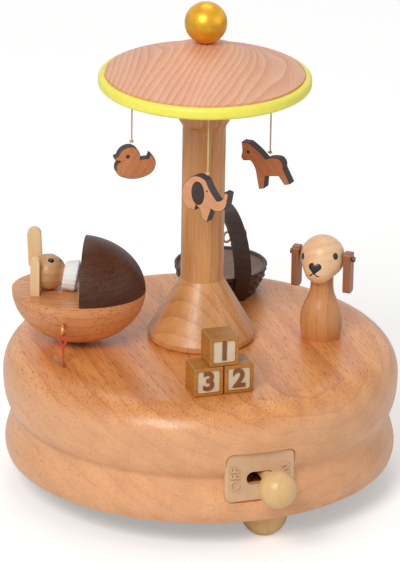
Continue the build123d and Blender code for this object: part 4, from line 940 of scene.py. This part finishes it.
def makeDogFace():
    tree = surfaceTree("dog_head")
    for number, pixel in enumerate(dogFace["eyes"]):
        makeEye(f"dogEyeRim{number}", f"dogEye{number}", tree, pixelHit(tree, *pixel), dogFace, "base")
    makeMark("dogNose", tree, pixelHit(tree, *dogFace["nose"]), heart(dogFace["noseSize"]), "base", 0.16)
    for side in (-1, 1):
        lips = stroke([(side * x, y) for x, y in dogFace["lips"]], dogFace["line"])
        makeMark(f"dogMouth{side + 1}", tree, pixelHit(tree, *dogFace["mouth"]), lips, "base", 0.05)


rabbitFace = {"eye": (51.0, 260.3), "nose": (60.5, 260.5), "rim": (1.3, 1.3), "ball": (1.12, 1.12),
              "noseSize": (0.55, 0.45), "middle": (8.7, 1.0, 5.2)}


def makeRabbitFace():
    tree = surfaceTree("rabbit_head")
    centre, normal = pixelHit(tree, *rabbitFace["eye"])
    makeEye("rabbitEyeRim", "rabbitEye", tree, (centre, normal), rabbitFace, "cradle")
    # The other eye stands opposite it, across the doll's middle
    turn = math.radians(cradle["turn"])
    side = Vector((-math.sin(turn), math.cos(turn), 0.0))
    out = (centre - placed(cradle, *rabbitFace["middle"])).dot(side)
    far = (centre - side * 2 * out, normal - side * 2 * normal.dot(side))
    makeEye("rabbitEyeFarRim", "rabbitEyeFar", tree, far, rabbitFace, "cradle")
    nose = pixelHit(tree, *rabbitFace["nose"])
    if nose[0] is not None:
        makeMark("rabbitNose", tree, nose, oval(*rabbitFace["noseSize"]), "cradle", 0.08)


makeDogFace()
makeRabbitFace()
print("faces painted")


# Toy blocks: a pale panel with a raised number in each front

blocks = {"size": 8.65, "gap": 0.3, "x": -7.1, "front": -43.6 + axisBack, "panel": 6.35, "corner": 0.6,
          "recess": 0.35, "number": 7.625, "words": ("3", "2", "1")}
upright = Matrix.Rotation(math.radians(90), 4, "X")


def textMesh(name, word, size, thick, bevel, bold=0.0):
    data = bpy.data.curves.new(name, "FONT")
    data.body = word
    data.size = size * mm
    data.extrude = thick * mm / 2
    data.bevel_depth = bevel * mm
    data.bevel_resolution = 1
    data.resolution_u = 6
    data.align_x = "CENTER"
    data.align_y = "CENTER"
    data.offset = bold * mm
    text = link(name, data)
    depsgraph = bpy.context.evaluated_depsgraph_get()
    mesh = bpy.data.meshes.new_from_object(text.evaluated_get(depsgraph), depsgraph=depsgraph)
    bpy.data.objects.remove(text)
    work = bmesh.new()
    work.from_mesh(mesh)
    bmesh.ops.remove_doubles(work, verts=work.verts, dist=1e-7)
    bmesh.ops.recalc_face_normals(work, faces=work.faces)
    work.to_mesh(mesh)
    work.free()
    return mesh


def panelMesh(name, half, corner, thick, place):
    points = []
    for cx, cy, start in ((1, 1, 0), (-1, 1, 90), (-1, -1, 180), (1, -1, 270)):
        for i in range(6):
            t = math.radians(start + 18 * i)
            points.append((cx * (half - corner) + corner * math.cos(t),
                           cy * (half - corner) + corner * math.sin(t)))

    def build(work):
        back = [work.verts.new(place @ (Vector((x, y, 0.0)) * mm)) for x, y in points]
        front = [work.verts.new(place @ (Vector((x, y, thick)) * mm)) for x, y in points]
        work.faces.new(front)
        work.faces.new(list(reversed(back)))
        joinRings(work, [back, front])
    return meshFrom(name, build, False)


def makeBlockFronts():
    size = blocks["size"]
    step = (size + blocks["gap"]) / 2
    places = ((blocks["x"] - step, baseTop), (blocks["x"] + step, baseTop), (blocks["x"], baseTop + size))
    floor = blocks["front"] + blocks["recess"]
    for number, ((x, z), word) in enumerate(zip(places, blocks["words"]), start=1):
        place = Matrix.Translation(Vector((x, floor + 0.02, z + size / 2)) * mm) @ upright
        name = f"blockPanel{number}"
        newPiece(name, panelMesh(name, blocks["panel"] / 2, blocks["corner"], 0.08, place),
                 finishes["whitePaint"], "base")
        name = f"blockNumber{number}"
        mesh = textMesh(name, word, blocks["number"], 0.3, 0.08, 0.16)
        mesh.transform(place @ Matrix.Translation((0, 0, 0.16 * mm)))
        newPiece(name, mesh, finishes["numberPaint"], "base")


makeBlockFronts()


# Switch plate: moulded words beside the slot

switch = {"face": -56.0 + axisBack, "up": 22.6, "out": 7.4, "word": 4.1, "raise": 0.5}


def makeSwitchWords():
    front = switch["face"] - switch["raise"] / 2 + 0.05
    for name, word, side in (("switchOff", "OFF", -1), ("switchOn", "ON", 1)):
        mesh = textMesh(name, word, switch["word"], switch["raise"], 0.05)
        place = Matrix.Translation(Vector((side * switch["out"], front, switch["up"])) * mm)
        mesh.transform(place @ upright @ Matrix.Rotation(math.radians(90), 4, "Z"))
        newPiece(name, mesh, finishes["plastic"], "base")


makeSwitchWords()
print("blocks and switch lettered")


# Basket: plaited rows round the bowl and a rim, below its strap handle

weave = {"rows": 4, "stakes": 26, "swell": 0.62, "foot": 10.4, "belly": (13.2, 5.0), "dish": 0.7, "lip": 0.9}


def basketSide(level):
    # Radius of the bowl's side at a height: foot, belly, then the upright rim
    wide, high = weave["belly"]
    top = basket["height"] - weave["lip"]
    if level < high:
        return weave["foot"] + (wide - weave["foot"]) * level / high
    return min(basket["rim"], wide + (basket["rim"] - wide) * (level - high) / (top - high))


def makeBasketBowl():
    angles = around(weave["stakes"] * 12)
    steps = weave["rows"] * 16
    height = basket["height"]
    floor = height - weave["dish"]

    def ringAt(work, radii, level):
        return [work.verts.new(placed(basket, radius * math.cos(t), radius * math.sin(t), level))
                for radius, t in zip(radii, angles)]

    def sideRadii(share):
        # Rows lie over each other and pass in and out of the stakes
        row = share * weave["rows"]
        lay = abs(math.sin(math.pi * row)) ** 0.6
        ends = min(1.0, share * 10, (1 - share) * 14)
        shift = (3.1 if int(row) % 2 else 0.0) + row * 3.4
        for t in angles:
            twist = 0.5 + 0.5 * math.sin(weave["stakes"] * t + shift)
            yield basketSide(height * share) - weave["swell"] * (1 - lay * (0.55 + 0.45 * twist)) * ends

    def build(work):
        rings = [ringAt(work, sideRadii(i / steps), height * i / steps) for i in range(steps + 1)]
        inner = basket["rim"] - weave["lip"]
        for radius, level in ((basket["rim"] - 0.3, height), (inner, height - 0.12), (inner - 0.25, floor),
                              (inner * 0.66, floor), (inner * 0.33, floor)):
            rings.append(ringAt(work, [radius] * len(angles), level))
        joinRings(work, rings)
        work.faces.new(list(reversed(rings[0])))
        work.faces.new(rings[-1])
    mesh = meshFrom("basketBowl", build)
    mesh.materials.append(finishes["basket"])
    mesh.materials.append(finishes["basketTop"])
    for polygon in mesh.polygons:
        if abs(polygon.normal.z) > 0.9 and abs(polygon.center.z - (baseTop + floor) * mm) < 0.0002:
            polygon.material_index = 1
    newPiece("basketBowl", mesh, None, "base", ("basket_bowl",))


makeBasketBowl()
print("basket made")


# Floor, world and soft lamps

studio = {
    "floor": (0.93, 0.93, 0.93, 1.0),
    "half": 4,
    "glow": 0.34,
    "world": 0.38,
    "aim": (0, 0, 0.06),
    "lamps": (
        ("keyLamp", (-0.75, -0.85, 1.05), 0.7, 11.6, (1.0, 0.985, 0.96)),
        ("fillLamp", (1.1, -0.7, 0.6), 0.9, 1.0, (1.0, 1.0, 1.0)),
        ("topLamp", (0.2, 0.6, 1.3), 0.8, 2.4, (1.0, 1.0, 1.0)),
    ),
}
white = (1.0, 1.0, 1.0, 1.0)


def makeFloor():
    mesh = bpy.data.meshes.new("floor")
    half = studio["half"]
    mesh.from_pydata([(-half, -half, 0), (half, -half, 0), (half, half, 0), (-half, half, 0)], [],
                     [(0, 1, 2, 3)])
    material, tree, shader = newMaterial("floor")
    shader.inputs["Base Color"].default_value = studio["floor"]
    shader.inputs["Roughness"].default_value = 0.9
    shader.inputs["Specular IOR Level"].default_value = 0.0
    glow = addNode(tree, "ShaderNodeEmission", None, {"Color": white, "Strength": studio["glow"]})
    both = addNode(tree, "ShaderNodeAddShader", None, {0: shader.outputs[0], 1: glow.outputs[0]})
    rays = addNode(tree, "ShaderNodeLightPath").outputs["Is Camera Ray"]
    mixed = addNode(tree, "ShaderNodeMixShader", None, {0: rays, 1: shader.outputs[0], 2: both.outputs[0]})
    out = next(n for n in tree.nodes if n.type == "OUTPUT_MATERIAL")
    tree.links.new(mixed.outputs[0], out.inputs[0])
    mesh.materials.append(material)
    link("floor", mesh)


def makeWorld():
    world = bpy.data.worlds.new("studio")
    bpy.context.scene.world = world
    world.use_nodes = True
    tree = world.node_tree
    tree.nodes.clear()
    light = addNode(tree, "ShaderNodeBackground", None, {"Color": white, "Strength": studio["world"]})
    plain = addNode(tree, "ShaderNodeBackground", None, {"Color": white, "Strength": 1.0})
    rays = addNode(tree, "ShaderNodeLightPath").outputs
    mirrored = calc(tree, "MAXIMUM", rays["Is Glossy Ray"], rays["Is Transmission Ray"])
    seen = calc(tree, "MAXIMUM", rays["Is Camera Ray"], mirrored)
    mixed = addNode(tree, "ShaderNodeMixShader", None, {0: seen, 1: light.outputs[0], 2: plain.outputs[0]})
    out = addNode(tree, "ShaderNodeOutputWorld")
    tree.links.new(mixed.outputs[0], out.inputs[0])


def addLamp(name, place, size, power, colour):
    data = bpy.data.lights.new(name, "AREA")
    data.shape = "DISK"
    data.size = size
    data.energy = power
    data.color = colour
    look = (Vector(studio["aim"]) - Vector(place)).to_track_quat("-Z", "Y")
    link(name, data).matrix_world = Matrix.Translation(place) @ look.to_matrix().to_4x4()


def makeStudio():
    bpy.context.scene.view_settings.view_transform = "Standard"
    makeFloor()
    makeWorld()
    for lamp in studio["lamps"]:
        addLamp(*lamp)


makeStudio()
print("studio made")
